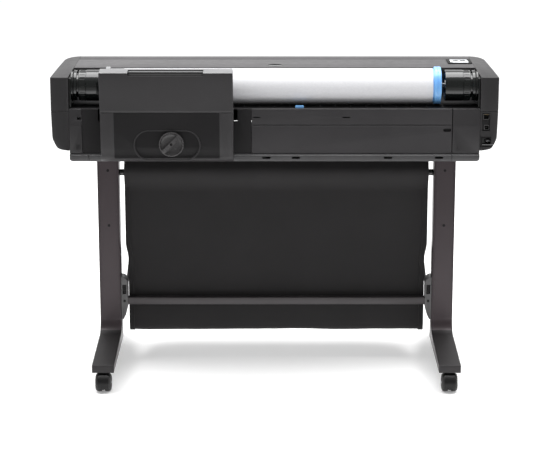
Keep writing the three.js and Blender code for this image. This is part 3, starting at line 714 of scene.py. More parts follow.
def lower_casing():
    """Bottom shell: the rear strip with round ends, drain slots and seams, its paler colour a painted
    highlight of the light it catches from above, and the pan.
    """
    low, high = box_mm("lower_casing")
    strip_top = box_mm("rear_panel")[0].z
    front = high.y
    section = ([(3, strip_top - 0.6), (0.2, strip_top - 0.6)] + arc((-1.5, 662), 6.4, 110, 180, 5)
               + arc((0.5, 655), 8, 185, 270, 6)
               + [(front - 30, low.z), (front - 8, low.z + 4), (front, low.z + 16), (front, high.z),
                  (front - 3, high.z), (front - 3, low.z + 16), (front - 10, low.z + 7),
                  (front - 30, low.z + 3), (5, low.z + 3), (-1, 652), (-3.5, 658), (0, 664)])
    rim = 12.0
    ends = [low.x, low.x + 1, low.x + 3, low.x + 7, low.x + rim]
    rings = []
    for x in ends + [0.0] + [-x for x in reversed(ends)]:
        inset = max(0.0, (abs(x) - (high.x - rim)) / rim)
        lift = 6.0 * (1 - math.sqrt(1 - min(1.0, inset) ** 2))
        ring = []
        for y, z in section:
            share = max(0.0, min(1.0, (strip_top - z) / (strip_top - low.z)))
            ring.append((x, y * (1 - 0.35 * inset ** 2) if y < 0 else y, z + lift * share ** 2))
        rings.append(ring)
    seams = [cutter(x - 1.2, x + 1.2, -12, -3.5, 640, 675) for x in (-549, 524)]
    drains = [slot_cutter(x - 12.5, x + 12.5, 656, 662.6, 3.2, -12, 1) for x in (-24, 63, 335, 486)]
    vents = [cutter(x, x + 4, 150, 230, low.z - 2, low.z + 5) for x in range(-300, 301, 30)]
    # The strip's paler colour is a painted highlight of the light it catches from above.
    finish_piece("lower_casing_shell", cut(loft(rings), *seams, *drains, *vents), "strip",
                 replaces=["lower_casing"])
    fittings = []
    for x in (-507, 507):
        fittings.append(block(x - 44, x + 44, 66, 160, low.z - 0.01, low.z + 2.6, bevel=0.8))
        fittings += [screw_head(x + dx, y, low.z, "underside") for dx in (-39, 39) for y in (75, 150)]
    fittings += [screw_head(x, y, low.z + 0.2, "underside")
                 for x in (-420, -150, 150, 420) for y in (60, 320)]
    finish_piece("bottom_fittings", merged(*fittings), "dark_plastic")


def end_plan(reach, inset=0.0):
    """Half plan of an end: inner edge, upright rear corner, tapering side, sweeping front corner."""
    low, high = box_mm("end_cover_right")
    inner = low.x
    outer = high.x - inset
    rear = low.y + inset
    front = high.y - inset
    side = [(outer - 3.0, rear), (outer - 0.9, rear + 0.9), (outer, rear + 3.0),
            (outer - 2.0, 120), (outer - 4.6, 220), (outer - 8.0, 325)]
    sweep = bezier(side[-1], (outer - 10.5, front - 35), (outer - 25, front - 5), (inner, front), 12)
    swells = ((0, 0), (0.12, 1.7), (0.3, 3.4), (0.5, 4.1), (0.7, 3.3), (0.86, 1.6))
    rear_face = [(inner + (outer - inner) * share, rear - swell) for share, swell in swells]
    return [(inner + (x - inner) * reach, y) for x, y in rear_face + side + sweep]


def end_cover(side, tag):
    """Upper half of an end, with a sharp top edge."""
    node = f"end_cover_{tag}"
    low, high = box_mm("end_cover_right")
    levels = [(low.z + 0.2, 0.7), (low.z + 0.9, 0.0), (high.z - 2.6, 0.0), (high.z - 1.2, 0.3),
              (high.z - 0.4, 0.9), (high.z, 1.9)]
    shell = loft([[(x, y, z) for x, y in end_plan(1.0, inset)] for z, inset in levels])
    handed(side, shell)
    finish_piece(node + "_shell", shell, "end_cover", replaces=[node], sharp=28)


# How far the lower corner is drawn in at each height above the bottom edge, in millimetres.
CORNER_DRAW_IN = [(0.0, 46.0), (0.8, 36.0), (2.0, 28.5), (4.0, 21.8), (7.2, 16.8), (12.0, 13.2),
                  (22.0, 8.0), (30.0, 4.6), (37.0, 2.6), (45.0, 2.0)]


def side_reach(z, low, high):
    """How far out a side cover reaches at a height: upright above a softened chamfer."""
    full = high.x - low.x
    rise = z - low.z
    top_rise, top_in = CORNER_DRAW_IN[-1]
    if rise >= top_rise:
        return (full - top_in * (high.z - z) / (high.z - low.z - top_rise)) / full
    for (z0, in0), (z1, in1) in zip(CORNER_DRAW_IN, CORNER_DRAW_IN[1:]):
        if rise <= z1:
            return (full - in0 - (in1 - in0) * (rise - z0) / (z1 - z0)) / full


def side_cover(side, tag):
    """Lower half of an end. The right one has the sockets' openings and the ledge under the inlet, whose
    pale colour is a painted highlight.
    """
    left_low, left_high = box_mm("side_cover_left")
    low = Vector((-left_high.x, left_low.y, left_low.z))
    high = Vector((-left_low.x, left_high.y, left_high.z))
    rings = []
    for z in [low.z + rise for rise, _ in CORNER_DRAW_IN] + [high.z - 0.9, high.z - 0.1]:
        inset = 0.8 if z > high.z - 0.5 else (0.6 if z < low.z + 0.2 else 0.0)
        rings.append([(x, y, z) for x, y in end_plan(side_reach(z, low, high), inset)])
    shell = loft(rings)
    handed(side, shell)
    if side > 0:
        openings = []
        for first, last in (box_mm("data_sockets"), box_mm("power_inlet")):
            openings.append(slot_cutter(first.x - 0.4, last.x + 0.4, first.z - 0.4, last.z + 0.4, 2,
                                        -5, last.y + 3))
        shell = cut(shell, *openings)
        shell = cut(shell, cutter(high.x - 52, high.x - 48, -6, 1.5, 690, 723),
                    cutter(high.x - 48, high.x - 14, -6, 1.2, 690.5, 696))
    finish_piece(f"side_cover_{tag}_shell", shell, "end_casing",
                 replaces=[f"side_cover_{tag}"], sharp=28)
    if side > 0:
        # The ledge's pale colour is a painted highlight line under the inlet.
        ledge = block(high.x - 46, high.x - 13.5, -3.4, 0, 696.4, 698.6, bevel=0.7)
        finish_piece("inlet_ledge", ledge, "painted_highlight")


def side_frames():
    """Sheet side frames, each with a black collar and liner that hide it inside the roll bay."""
    shaft = joint_mm("spindle_turn")
    x0, x1 = 594.8, 601.1
    for side, tag in SIDES:
        node = f"side_frame_{tag}"
        refined(node, "frame_paint", bevel=0.4)
        collar = lathe([(x0, 9.2), (x0, 43), (x0 + 1.5, 46.4), (x1 - 1, 46.4), (x1, 45.5), (x1, 9.2)], "X",
                       (0, shaft.y, shaft.z), 72)
        cradle = cutter(590, 605, shaft.y - 9.2, shaft.y + 9.2, shaft.z, shaft.z + 60)
        liner = prism([(10, 806), (175, 814), (175, 892), (10, 892)], "X", 599.6, 601.2, bevel=0.3)
        mouth = disc(47, 598, 603, "X", (0, shaft.y, shaft.z), edge=0.1)
        parts = merged(cut(collar, cradle), cut(liner, mouth))
        handed(side, parts)
        finish_piece(node + "_collar", parts, "gloss_black")


def top_panel():
    """Top sheet with a round recess for the badge and a well for the control panel."""
    low, high = box_mm("top_panel")
    control_low, control_high = box_mm("control_panel")
    section = ([(low.y, low.z), (low.y, high.z - 2.5)] + arc((low.y + 2.5, high.z - 2.5), 2.5, 180, 90, 5)
               + [(high.y - 0.8, high.z), (high.y, high.z - 0.8), (high.y, high.z - 3),
                  (low.y + 3, high.z - 3), (low.y + 3, low.z)])
    panel = prism(section, "X", low.x, high.x, bevel=0.3, segments=1)
    badge = (1.5, low.y + 42, 0)
    recess = disc(24.5, high.z - 1.2, high.z + 3, "Z", badge, edge=0.2, steps=64)
    well = cutter(control_low.x + 3.2, control_high.x - 3.2, control_low.y + 3.2, control_high.y - 3.2,
                  high.z - 8, high.z + 5)
    finish_piece("top_panel_skin", cut(panel, recess, well), "top_casing", replaces=["top_panel"])
    ring = lathe([(high.z - 1.1, 21.5), (high.z + 0.1, 21.8), (high.z + 0.4, 22.5), (high.z + 0.1, 23.6),
                  (high.z - 1.1, 23.8)], "Z", badge, 72)
    plate = disc(21, high.z - 1.15, high.z - 0.4, "Z", badge, edge=0.3, steps=64)
    finish_piece("badge_plate", merged(ring, plate), "gloss_black")


def cover_skin(low, high, inset):
    """Section of the front cover at a depth under its surface: flat top and rounded nose."""
    top = high.z - inset
    front = high.y - inset
    radius = 7.0 - inset
    nose = arc((front - radius, top - radius), radius, 90, 0, 8)
    return [(low.y + 0.2, top)] + nose + [(front, low.z + 12), (front - 3, low.z)]


def front_cover():
    """Lifting cover: flat top, rounded nose, a long finger recess along its lower edge."""
    low, high = box_mm("front_cover")
    section = cover_skin(low, high, 0.0) + list(reversed(cover_skin(low, high, 3.0)))
    shell = prism(section, "X", low.x, high.x, bevel=0.4, segments=2)
    grip = slot_cutter(-90, 90, low.z - 12, low.z + 14, 9, high.y - 4.5, high.y + 2)
    finish_piece("front_cover_shell", cut(shell, grip), "top_casing", "front_cover",
                 replaces=["front_cover"])
    window = prism([(high.y, low.z + 24), (high.y, high.z - 24), (high.y - 1, high.z - 24),
                    (high.y - 1, low.z + 24)], "X", low.x + 60, high.x - 60, bevel=0.4)
    finish_piece("front_cover_window", window, "gloss_black", "front_cover")


def front_panel():
    """Front sheet with its curved lip, the output ribs on it, and the ink door."""
    low, high = box_mm("front_panel")
    door_low, door_high = box_mm("ink_door")
    section = ([(high.y, low.z), (high.y, high.z - 8)] + arc((high.y - 6, high.z - 7), 6, 0, 80, 6)
               + [(low.y, high.z), (low.y, high.z - 3), (high.y - 9, high.z - 6),
                  (high.y - 3, high.z - 10), (high.y - 3, low.z)])
    panel = prism(section, "X", low.x, high.x, bevel=0.3, segments=1)
    doorway = cutter(door_low.x - 0.4, door_high.x + 0.4, high.y - 6, high.y + 4,
                     door_low.z - 0.4, door_high.z + 0.4)
    groove = cutter(low.x - 1, high.x + 1, high.y - 0.8, high.y + 2, 728, 729.4)
    finish_piece("front_panel_skin", cut(panel, doorway, groove), "casing", replaces=["front_panel"])
    rib = [(low.y + 1, high.z), (high.y - 8, high.z - 1.4), (high.y - 8, high.z + 0.2),
           (low.y + 4, high.z + 1.5)]
    ribs = [prism(rib, "X", x - 1, x + 1, bevel=0.3, segments=1) for x in range(-560, 561, 40)]
    finish_piece("output_ribs", merged(*ribs), "casing")
    door = block(door_low.x, door_high.x, door_low.y, door_high.y, door_low.z, door_high.z, bevel=0.7)
    finger = slot_cutter(-530, -490, door_high.z - 14, door_high.z - 5, 4,
                         door_high.y - 1.6, door_high.y + 2)
    finish_piece("ink_door_panel", cut(door, finger), "casing", "ink_door", replaces=["ink_door"])


def roll_bay():
    """Floor of the roll bay with its ribs and the blue mark at the paper's edge."""
    refined("roll_bay", "dark_plastic", bevel=0.4)
    rib = [(14, 804.2), (60, 804.2), (60, 806), (52, 808), (22, 808), (14, 806)]
    ribs = [prism(rib, "X", x - 1, x + 1, bevel=0.3, segments=1) for x in range(-90, 500, 45)]
    finish_piece("roll_bay_ribs", merged(*ribs), "dark_plastic")
    tab = merged(prism(rounded(61, 86, 804.8, 813, 2.5), "Y", 9, 12.5, bevel=0.5),
                 block(66, 81, 10, 19, 805, 808, bevel=0.6))
    finish_piece("paper_edge_mark", tab, "hub_blue")


# ---------------------------------------------------------------- controls and sockets
def controls():
    """Control panel: frame, screen with two tiles and a bar, and the power button."""
    low, high = box_mm("control_panel")
    screen_low, screen_high = box_mm("display")
    button_low, button_high = box_mm("power_button")
    frame_block = merged(
        block(low.x, high.x, low.y, high.y, high.z - 2.2, high.z - 0.4, bevel=0.8, segments=3),
        block(low.x + 3.6, high.x - 3.6, low.y + 3.6, high.y - 3.6, low.z, high.z - 2.1, bevel=0.4))
    opening = cutter(screen_low.x - 0.3, screen_high.x + 0.3, screen_low.y - 0.3, screen_high.y + 0.3,
                     screen_low.z - 0.3, high.z + 3)
    middle = (button_low + button_high) / 2
    button = (middle.x, middle.y, 0)
    bore = disc(4.2, low.z - 2, high.z + 3, "Z", button, edge=0.1, steps=32)
    finish_piece("control_panel_frame", cut(frame_block, opening, bore), "panel_frame",
                 replaces=["control_panel"])
    top = high.z - 0.7
    glass = block(screen_low.x, screen_high.x, screen_low.y, screen_high.y, screen_low.z, top, bevel=0.5)
    finish_piece("display_glass", glass, "screen", replaces=["display"])
    x = (screen_low.x + screen_high.x) / 2
    y = (screen_low.y + screen_high.y) / 2
    outlines = [rounded(x - 20, x - 2, y - 11, y + 9, 4), rounded(x + 2, x + 20, y - 11, y + 9, 4),
                rounded(x - 18, x + 18, y + 15, y + 17.5, 1.2)]
    icons = [prism(outline, "Z", top - 0.1, top + 0.12, bevel=0.05, segments=1) for outline in outlines]
    finish_piece("display_icons", merged(*icons), "recess")
    cap = disc(3.8, button_low.z, button_high.z, "Z", button, edge=0.5, steps=36)
    finish_piece("power_button_cap", cap, "dark_plastic", "power_button", replaces=["power_button"])
    ring = lathe([(button_high.z - 0.3, 1.6), (button_high.z - 0.3, 2.3), (button_high.z + 0.12, 2.3),
                  (button_high.z + 0.12, 1.6)], "Z", button, 36)
    finish_piece("power_button_mark", ring, "screen", "power_button")


def sockets():
    """Network and data sockets in one housing, with their rims and contacts."""
    low, high = box_mm("data_sockets")
    body = block(low.x, high.x, low.y, high.y, low.z, high.z, bevel=0.4)
    network = cutter(615, 631, -2, 16, 774, 788)
    key = cutter(619, 627, -2, 12, 770.5, 775)
    data = slot_cutter(619, 631, 743, 755, 2.2, -2, 14)
    finish_piece("data_socket_housing", cut(body, network, key, data), "dark_plastic",
                 replaces=["data_sockets"])
    rims = [cut(block(614, 632, -0.2, 3, 773, 789, bevel=0.4), cutter(615, 631, -2, 9, 774, 788)),
            cut(block(618, 632, -0.2, 3, 742, 756, bevel=0.4), cutter(619, 631, -2, 9, 743, 755))]
    finish_piece("socket_rims", merged(*rims), "bracket")
    pins = [block(617 + i * 1.6, 617.8 + i * 1.6, 4, 15, 786, 787.2, bevel=0.1, segments=1)
            for i in range(8)]
    finish_piece("socket_contacts", merged(*pins), "gold")
    tongue = block(622, 628, 3, 13.5, 747.5, 750.5, bevel=0.3)
    finish_piece("data_socket_tongue", tongue, "dark_plastic")


def power_inlet():
    """Mains inlet with its three blades, and the rocker switch."""
    low, high = box_mm("power_inlet")
    body = block(low.x, high.x, -0.6, high.y, low.z, high.z, bevel=0.6)
    hexagon = [(622, 700), (637, 700), (637, 714), (632.5, 719), (626.5, 719), (622, 714)]
    well = prism(hexagon, "Y", -4, 18, bevel=0)
    pocket = cutter(612, 620, -4, 14, 700, 719)
    finish_piece("power_inlet_body", cut(body, well, pocket), "dark_plastic", replaces=["power_inlet"])
    blades = [block(x - 0.8, x + 0.8, 5, 18, 706, 711, bevel=0.3) for x in (625.5, 629.5, 633.5)]
    finish_piece("inlet_blades", merged(*blades), "socket_metal")
    refined("power_switch", "gloss_black", bevel=0.5, body="power_switch")


# ---------------------------------------------------------------- roll and spindle
def spindle():
    """Shaft along the axis of the roll, and the drums and hubs on it."""
    low, high = box_mm("spindle_shaft")
    centre = axis_middle("spindle_turn")
    shaft = disc(7.9, low.x, high.x, "X", centre, edge=1.2, steps=48)
    finish_piece("spindle_shaft_bar", shaft, "roller_metal", "spindle", replaces=["spindle_shaft"])
    for side, tag in reversed(SIDES):
        drum(side, "spindle_end_" + tag, centre)
    hub(1, "hub_right", centre, 20.3, "hub_blue")
    hub(-1, "hub_left", centre, 13.0, "hub_pale")


def drum(side, node, centre):
    """Black drum at one end of the spindle: two grooves and a ring of 30 grip ridges between them."""
    low, high = box_mm("spindle_end_right")
    steps = [(0, SHAFT_BORE), (0, 16), (4, 17), (4, 38), (0, 40), (0, 43.6), (0.8, 45.2),
             (2.4, DRUM_RADIUS), (52, DRUM_RADIUS), (52.8, 45.4), (53.2, 44.4), (54.2, 44.4),
             (54.6, 45.0), (74.0, 45.0), (75.0, 44), (75.2, 35), (80.2, 35), (80.4, 43.4), (81.4, 44.4)]
    profile = [(low.x + along, radius) for along, radius in steps]
    profile += [(high.x - 1, 44.4), (high.x, 43.4), (high.x, SHAFT_BORE)]
    body = lathe(profile, "X", centre, 96)
    handed(side, body)
    finish_piece(node + "_drum", body, "gloss_black", "spindle", replaces=[node], sharp=25)
    grips = []
    for number in range(30):
        ridge = block(low.x + 56, low.x + 71, -0.9, 0.9, 44.4, DRUM_RADIUS, bevel=0.5)
        grips.append(moved(moved(ridge, turn=(number * 12, "X")), centre))
    grips = merged(*grips)
    handed(side, grips)
    finish_piece(node + "_grips", grips, "gloss_black", "spindle")


def hub(side, node, centre, width, material):
    """Hub holding one end of the roll: a collar inside, a grooved flange and six spokes outside."""
    low, high = box_mm(node)
    inner = low.x if side > 0 else -high.x
    outer = high.x if side > 0 else -low.x
    seat = inner + 38
    lip = outer - width
    groove = lip + width * 0.4
    body = lathe([(inner, SHAFT_BORE), (inner, 23), (inner + 3, 25.6), (seat, 25.6), (seat, 48.9),
                  (seat + 0.6, COLLAR_RADIUS), (lip, COLLAR_RADIUS), (lip, 53.4), (lip + 0.8, 55),
                  (lip + 2.2, FLANGE_RADIUS), (groove, FLANGE_RADIUS), (groove + 0.6, 54.6),
                  (groove + 1.6, 54.6), (groove + 2.2, FLANGE_RADIUS), (outer - 2.2, FLANGE_RADIUS),
                  (outer - 0.7, 54.8), (outer, 53.2), (outer, 46), (outer - 6, 44), (outer - 6, 18),
                  (outer, 16), (outer, SHAFT_BORE)], "X", centre, 96)
    spokes = []
    for number in range(6):
        spoke = block(outer - 6.5, outer - 1, -1.5, 1.5, 15, 45, bevel=0.5)
        spokes.append(moved(moved(spoke, turn=(number * 60, "X")), centre))
    whole = merged(body, *spokes)
    handed(side, whole)
    wheel = finish_piece(node + "_disc", whole, material, "spindle", replaces=[node], sharp=25)
    if side < 0:
        collar = ((lip - 0.5) * MM, (seat - 0.5) * MM)
        two_tone(wheel, "paper",
                 lambda face: collar[1] < -face.center.x < collar[0]
                 and math.hypot(face.center.y - REAR - centre[1] * MM,
                                face.center.z - centre[2] * MM) > 0.045)


def paper_roll():
    """Wound paper with the edges of its layers on the ends, and its free edge."""
    low, high = box_mm("paper_roll")
    axis = joint_mm("spindle_turn")
    MATERIALS["paper_edge"] = paper_edge("paper_edges", (REAR + axis.y * MM, axis.z * MM))
    tube = lathe([(low.x, ROLL_BORE), (low.x, 49.6), (low.x + 0.4, ROLL_RADIUS),
                  (high.x - 0.4, ROLL_RADIUS), (high.x, 49.6), (high.x, ROLL_BORE)],
                 "X", (0, axis.y, axis.z), 128)
    roll = finish_piece("paper_roll_wound", tube, "paper", "spindle", replaces=["paper_roll"])
    roll.data.materials.append(MATERIALS["paper_edge"])
    for face in roll.data.polygons:
        if abs(face.normal.x) > 0.9:
            face.material_index = 1
    points = []
    for number in range(9):
        angle = math.radians(200 + number * 3)
        points.append((50.15 * math.cos(angle) + axis.y, 50.15 * math.sin(angle) + axis.z))
    outer = [(axis.y + (y - axis.y) * 1.004, axis.z + (z - axis.z) * 1.004) for y, z in reversed(points)]
    overlap = prism(points + outer, "X", low.x + 0.5, high.x - 0.5, bevel=0)
    finish_piece("paper_free_edge", overlap, "paper", "spindle")


# ---------------------------------------------------------------- print engine
def gear(teeth, root, tip, low, high, centre):
    """A spur gear about X: straight flanks between a root and a tip circle."""
    outline = []
    for i in range(teeth):
        for share, radius in ((0.0, root), (0.25, root), (0.38, tip), (0.62, tip), (0.75, root)):
            angle = 2 * math.pi * (i + share) / teeth
            outline.append((radius * math.cos(angle), radius * math.sin(angle)))
    return moved(prism(outline, "X", low, high, bevel=0.25, segments=1), centre)


def rollers():
    """Feed roller with its gear, and the pinch roller with its rubber tyres."""
    low, high = box_mm("feed_roller")
    centre = axis_middle("feed_roller_turn")
    bar = merged(disc(14, low.x + 19, high.x - 19, "X", centre, edge=0.5, steps=64),
                 disc(7, low.x, high.x, "X", centre, edge=0.5, steps=32))
    finish_piece("feed_roller_bar", bar, "roller_metal", "feed_roller", replaces=["feed_roller"])
    finish_piece("feed_roller_gear", gear(36, 15.2, 17.0, 586, 594, centre), "dark_plastic", "feed_roller")

    low, high = box_mm("pinch_roller")
    centre = axis_middle("pinch_roller_turn")
    finish_piece("pinch_roller_bar", disc(3, low.x, high.x, "X", centre, edge=0.4, steps=24), "roller_metal",
                 "pinch_roller", replaces=["pinch_roller"])
    tyres = [disc(6, x - 20, x + 20, "X", centre, edge=0.8, steps=32) for x in range(-540, 541, 120)]
    finish_piece("pinch_roller_tyres", merged(*tyres), "roller_rubber", "pinch_roller")


def carriage():
    """Rail, drive belt and encoder strip, and the carriage that runs on them."""
    refined("carriage_rail", "steel", bevel=0.5)
    low, high = box_mm("carriage_rail")
    belt = block(low.x + 10, high.x - 10, 250.3, 251.2, 844, 851, bevel=0.2)
    teeth = [cutter(x, x + 2.4, 250.0, 250.5, 844.2, 850.8) for x in range(-590, 590, 5)]
    finish_piece("drive_belt", merged(belt, *teeth), "roller_rubber")
    strip = block(low.x + 6, high.x - 6, 230, 240, 870.3, 870.8, bevel=0.1)
    finish_piece("encoder_strip", strip, "gloss_black")
    refined("print_carriage", "dark_plastic", bevel=1.4, body="carriage")
    latch = merged(prism(rounded(-48, 48, 268, 314, 6), "Z", 862, 866.5, bevel=1.2),
                   prism(rounded(-14, 14, 314, 328, 3), "Z", 862, 868.5, bevel=1.0))
    finish_piece("carriage_latch", latch, "casing", "carriage")
    heads = [block(x, x + 26, 262, 318, 787.8, 800.4, bevel=0.8) for x in (-42, 16)]
    finish_piece("print_heads", merged(*heads), "dark_plastic", "carriage")
    plates = [block(x + 3, x + 23, 266, 314, 787.2, 787.9, bevel=0.1) for x in (-42, 16)]
    finish_piece("nozzle_plates", merged(*plates), "gold", "carriage")


def engine():
    """Everything inside the body that prints, feeds ink and drives it."""
    rollers()
    carriage()
    platen()
    main_board()
    refined("power_supply", "steel", bevel=0.8)
    ink_cartridges()


def platen():
    """Ribbed plate under the paper, and the service station beside it."""
    refined("platen", "dark_plastic", bevel=0.5)
    ribs = [block(x + dx - 0.8, x + dx + 0.8, 300.5, 317.5, 776, 782.6, bevel=0.3, segments=1)
            for x in range(-560, 431, 110) for dx in (10, 25, 40, 55, 70)]
    finish_piece("platen_ribs", merged(*ribs), "dark_plastic")
    refined("service_station", "dark_plastic", bevel=0.8)
    wipers = [block(x + 3, x + 15, 277, 318, 785.6, 786.4, bevel=0.2) for x in (480, 510, 540)]
    finish_piece("cap_seals", merged(*wipers), "roller_rubber")


def main_board():
    """Circuit board with chips, a connector and five capacitors."""
    low, high = box_mm("main_board")
    sheet = block(low.x, high.x, low.y, low.y + 3, low.z, high.z, bevel=0.3)
    finish_piece("main_board_sheet", sheet, "circuit_board", replaces=["main_board"])
    face = low.y + 2.9
    sizes = ((350, 700, 40, 30, 6), (420, 705, 30, 30, 8), (470, 740, 30, 25, 14))
    chips = [block(x, x + width, face, face + depth, z, z + height, bevel=0.5)
             for x, z, width, height, depth in sizes]
    chips += [block(x, x + 6, face, face + 2.4, 690, 699, bevel=0.3) for x in range(460, 506, 9)]
    finish_piece("board_chips", merged(*chips), "dark_plastic")
    pins = [block(x, x + 2, face, face + 8, 751, 759, bevel=0.2) for x in range(362, 427, 4)]
    cans = [disc(5, face, face + 12, "Y", (x, 0, 690), edge=0.7, steps=28) for x in range(345, 402, 14)]
    finish_piece("board_contacts", merged(*pins, *cans), "socket_metal")


def ink_cartridges():
    """Four cartridges, each with a label in its ink's colour."""
    for number, (ink, color) in enumerate(INKS.items(), start=1):
        node = f"ink_cartridge_{number}"
        refined(node, "ink_cartridge", bevel=1.0)
        low, high = box_mm(node)
        MATERIALS["ink_" + ink] = polished("ink_label_" + ink, color, roughness=0.35)
        outline = rounded(low.x + 4, high.x - 4, low.z + 6, low.z + 40, 2.5)
        label = prism(outline, "Y", high.y - 0.2, high.y + 0.4, bevel=0.1, segments=1)
        finish_piece(node + "_label", label, "ink_" + ink)


# ---------------------------------------------------------------- sheet feeder
def feeder_housing():
    """Fixed lower half: two pillars either side of a sunk panel coloured near black as painted shade, with a
    racetrack recess.
    """
    low, high = box_mm("feeder_housing")
    rear, seam = low.y, high.z
    pillar, ramp, depth = 43.0, 15.0, 4.6
    profile = [(rear + 0.9, seam), (rear, seam - 0.9), (rear + 3, 757), (rear + 6, 705), (rear + 9, 692),
               (rear + 12, 680)] + arc((rear + 31, 680), 19, 180, 245, 7) + [(-50, 657.4), (-12, 657)]
    inner = [(-8.6, 657.6), (-8, 660), (-8, 672), (-0.3, 674), (-0.3, seam)]
    edge = 1.2
    inward = [0, 0.25, edge] + [pillar - ramp * share for share in (1, 0.75, 0.5, 0.25, 0)]
    stations = [low.x + d for d in inward] + [high.x - d for d in reversed(inward)]
    rings = []
    for x in stations:
        inset = min(x - low.x, high.x - x)
        sunk = depth * smoothstep((inset - pillar + ramp) / ramp)
        round_off = edge - math.sqrt(max(0.0, edge ** 2 - max(0.0, edge - inset) ** 2))
        ring = []
        for y, z in profile:
            share = smoothstep((z - 664) / 14)
            ring.append((x, y + sunk * share + round_off, z))
        rings.append(ring + [(x, y, z) for y, z in inner])
    shell = loft(rings)
    knob = joint_mm("feeder_knob_turn")
    track = (low.x + 100, low.x + 287, 668, 752)
    recess = prism(rounded(*track, 41.5, 24), "Y", rear - 10, rear + 11, bevel=0)
    throat = cutter(low.x + 42, high.x - 44, -60, -30, seam - 62, seam + 2)
    bore = disc(6.3, rear, rear + 30, "Y", (knob.x, 0, knob.z), edge=0.1, steps=40)
    shell = cut(shell, recess, throat, bore)
    housing = finish_piece("feeder_housing_shell", shell, "casing", replaces=["feeder_housing"], sharp=36)
    # The sunk panel's faces get near black: painted shade in the recess between the pillars.
    shade_left, shade_right = (low.x + pillar - 4) * MM, (high.x - pillar + 4) * MM
    two_tone(housing, "recess",
             lambda face: shade_left < face.center.x < shade_right and face.center.z > 0.668)
    # Raised lip round the racetrack.
    lip = loft_ring(rounded(*track, 41.5, 24), 4.6, rear + 7.0, rear + 9.9)
    finish_piece("feeder_recess_lip", lip, "end_casing")


def feeder_face(z, inset=0.0):
    """Where the leaning face of the feeder cover is at a height."""
    hinge = joint_mm("feeder_cover_open")
    slide = Vector(JOINTS["tray_extension_slide"]["axis"])
    slope = -slide.y / slide.z
    return hinge.y - (z - hinge.z) * slope + inset * math.sqrt(1 + slope * slope)


def feeder_cover():
    """Leaning flap with a flat top carrying a painted highlight, a notch for the tray's flange and rounded
    edges.
    """
    low, high = box_mm("feeder_cover")
    tray_low, tray_high = box_mm("tray_extension")
    base = low.z
    face_top = high.z - 7.2
    top_y = feeder_face(face_top)
    outer = ([(feeder_face(base) + 1.0, base), (feeder_face(base + 3), base + 1.6)]
             + [(feeder_face(z), z) for z in (base + 6, 850, 890, face_top - 3)]
             + [(top_y + 0.35, face_top), (top_y + 1.5, face_top + 2.2), (top_y + 3.6, face_top + 3.4),
                (-64, high.z - 1.6), (-48, high.z - 0.2), (-43, high.z - 1.6), (-38.5, high.z - 6),
                (-24, base)])
    edge = 2.2
    inward = [0, 0.35, 1.0, edge]
    stations = [low.x + d for d in inward] + [high.x - d for d in reversed(inward)]
    middle = Vector((-60, 870))
    rings = []
    for x in stations:
        inset = min(x - low.x, high.x - x)
        shrink = edge - math.sqrt(max(0.0, edge ** 2 - (edge - inset) ** 2))
        ring = []
        for y, z in outer:
            toward = (middle - Vector((y, z))).normalized()
            ring.append((x, y + toward.x * shrink, z + (toward.y * shrink if z > base + 1 else 0)))
        rings.append(ring)
    shell = loft(rings)
    inside_y = feeder_face(917, 3)
    hollow = prism([(feeder_face(base - 6, 3), base - 6), (inside_y, 917), (inside_y + 4, high.z - 9),
                    (-50, high.z - 5), (-42, high.z - 8), (-27.5, base - 6)],
                   "X", low.x + 3, high.x - 3, bevel=0)
    notch = prism([(tray_low.x - 0.4, 918.5), (tray_high.x + 0.4, 918.5), (tray_high.x + 1.2, 924),
                   (tray_high.x + 1.2, 950), (tray_low.x - 1.2, 950), (tray_low.x - 1.2, 924)],
                  "Y", -110, -62, bevel=0)
    cover = finish_piece("feeder_cover_shell", cut(shell, hollow, notch), "casing", "feeder_cover",
                         replaces=["feeder_cover"], sharp=34)
    # The cover's upward faces near its top get a pale colour: a painted highlight.
    two_tone(cover, "painted_highlight",
             lambda face: face.normal.z > 0.6 and face.center.z > (high.z - 8) * MM
             and face.center.y < REAR - 0.040)


def tray_extension():
    """Sheet that slides out of the feeder cover, with a flange along its top, whose upward faces carry a
    painted highlight, and two stops.
    """
    low, high = box_mm("tray_extension")
    top = high.z
    bottom = low.z
    section = [(feeder_face(bottom, 6), bottom), (feeder_face(top - 7, 6), top - 7), (-86, top - 7.5),
               (-72.5, top - 5), (-71.5, top - 1.4), (-64.5, top + 0.6), (-63.5, top + 0.2),
               (-63.5, top - 2), (-70, top - 5), (-84, top - 9.6), (feeder_face(top - 12, 10), top - 12),
               (feeder_face(bottom, 10), bottom)]
    tray = prism(section, "X", low.x, high.x, bevel=0.4)
    stops = [slot_cutter(x - 9, x + 9, bottom + 12, bottom + 20, 3.5, -120, -40)
             for x in (low.x + 22, high.x - 22)]
    panel = finish_piece("tray_extension_panel", cut(tray, *stops), "panel_frame", "tray_extension",
                         replaces=["tray_extension"])
    # Upward faces of the flange get a paler colour: a painted highlight.
    two_tone(panel, "tray_painted_highlight", lambda face: face.normal.z > 0.6 and face.center.z > (top - 2) * MM)


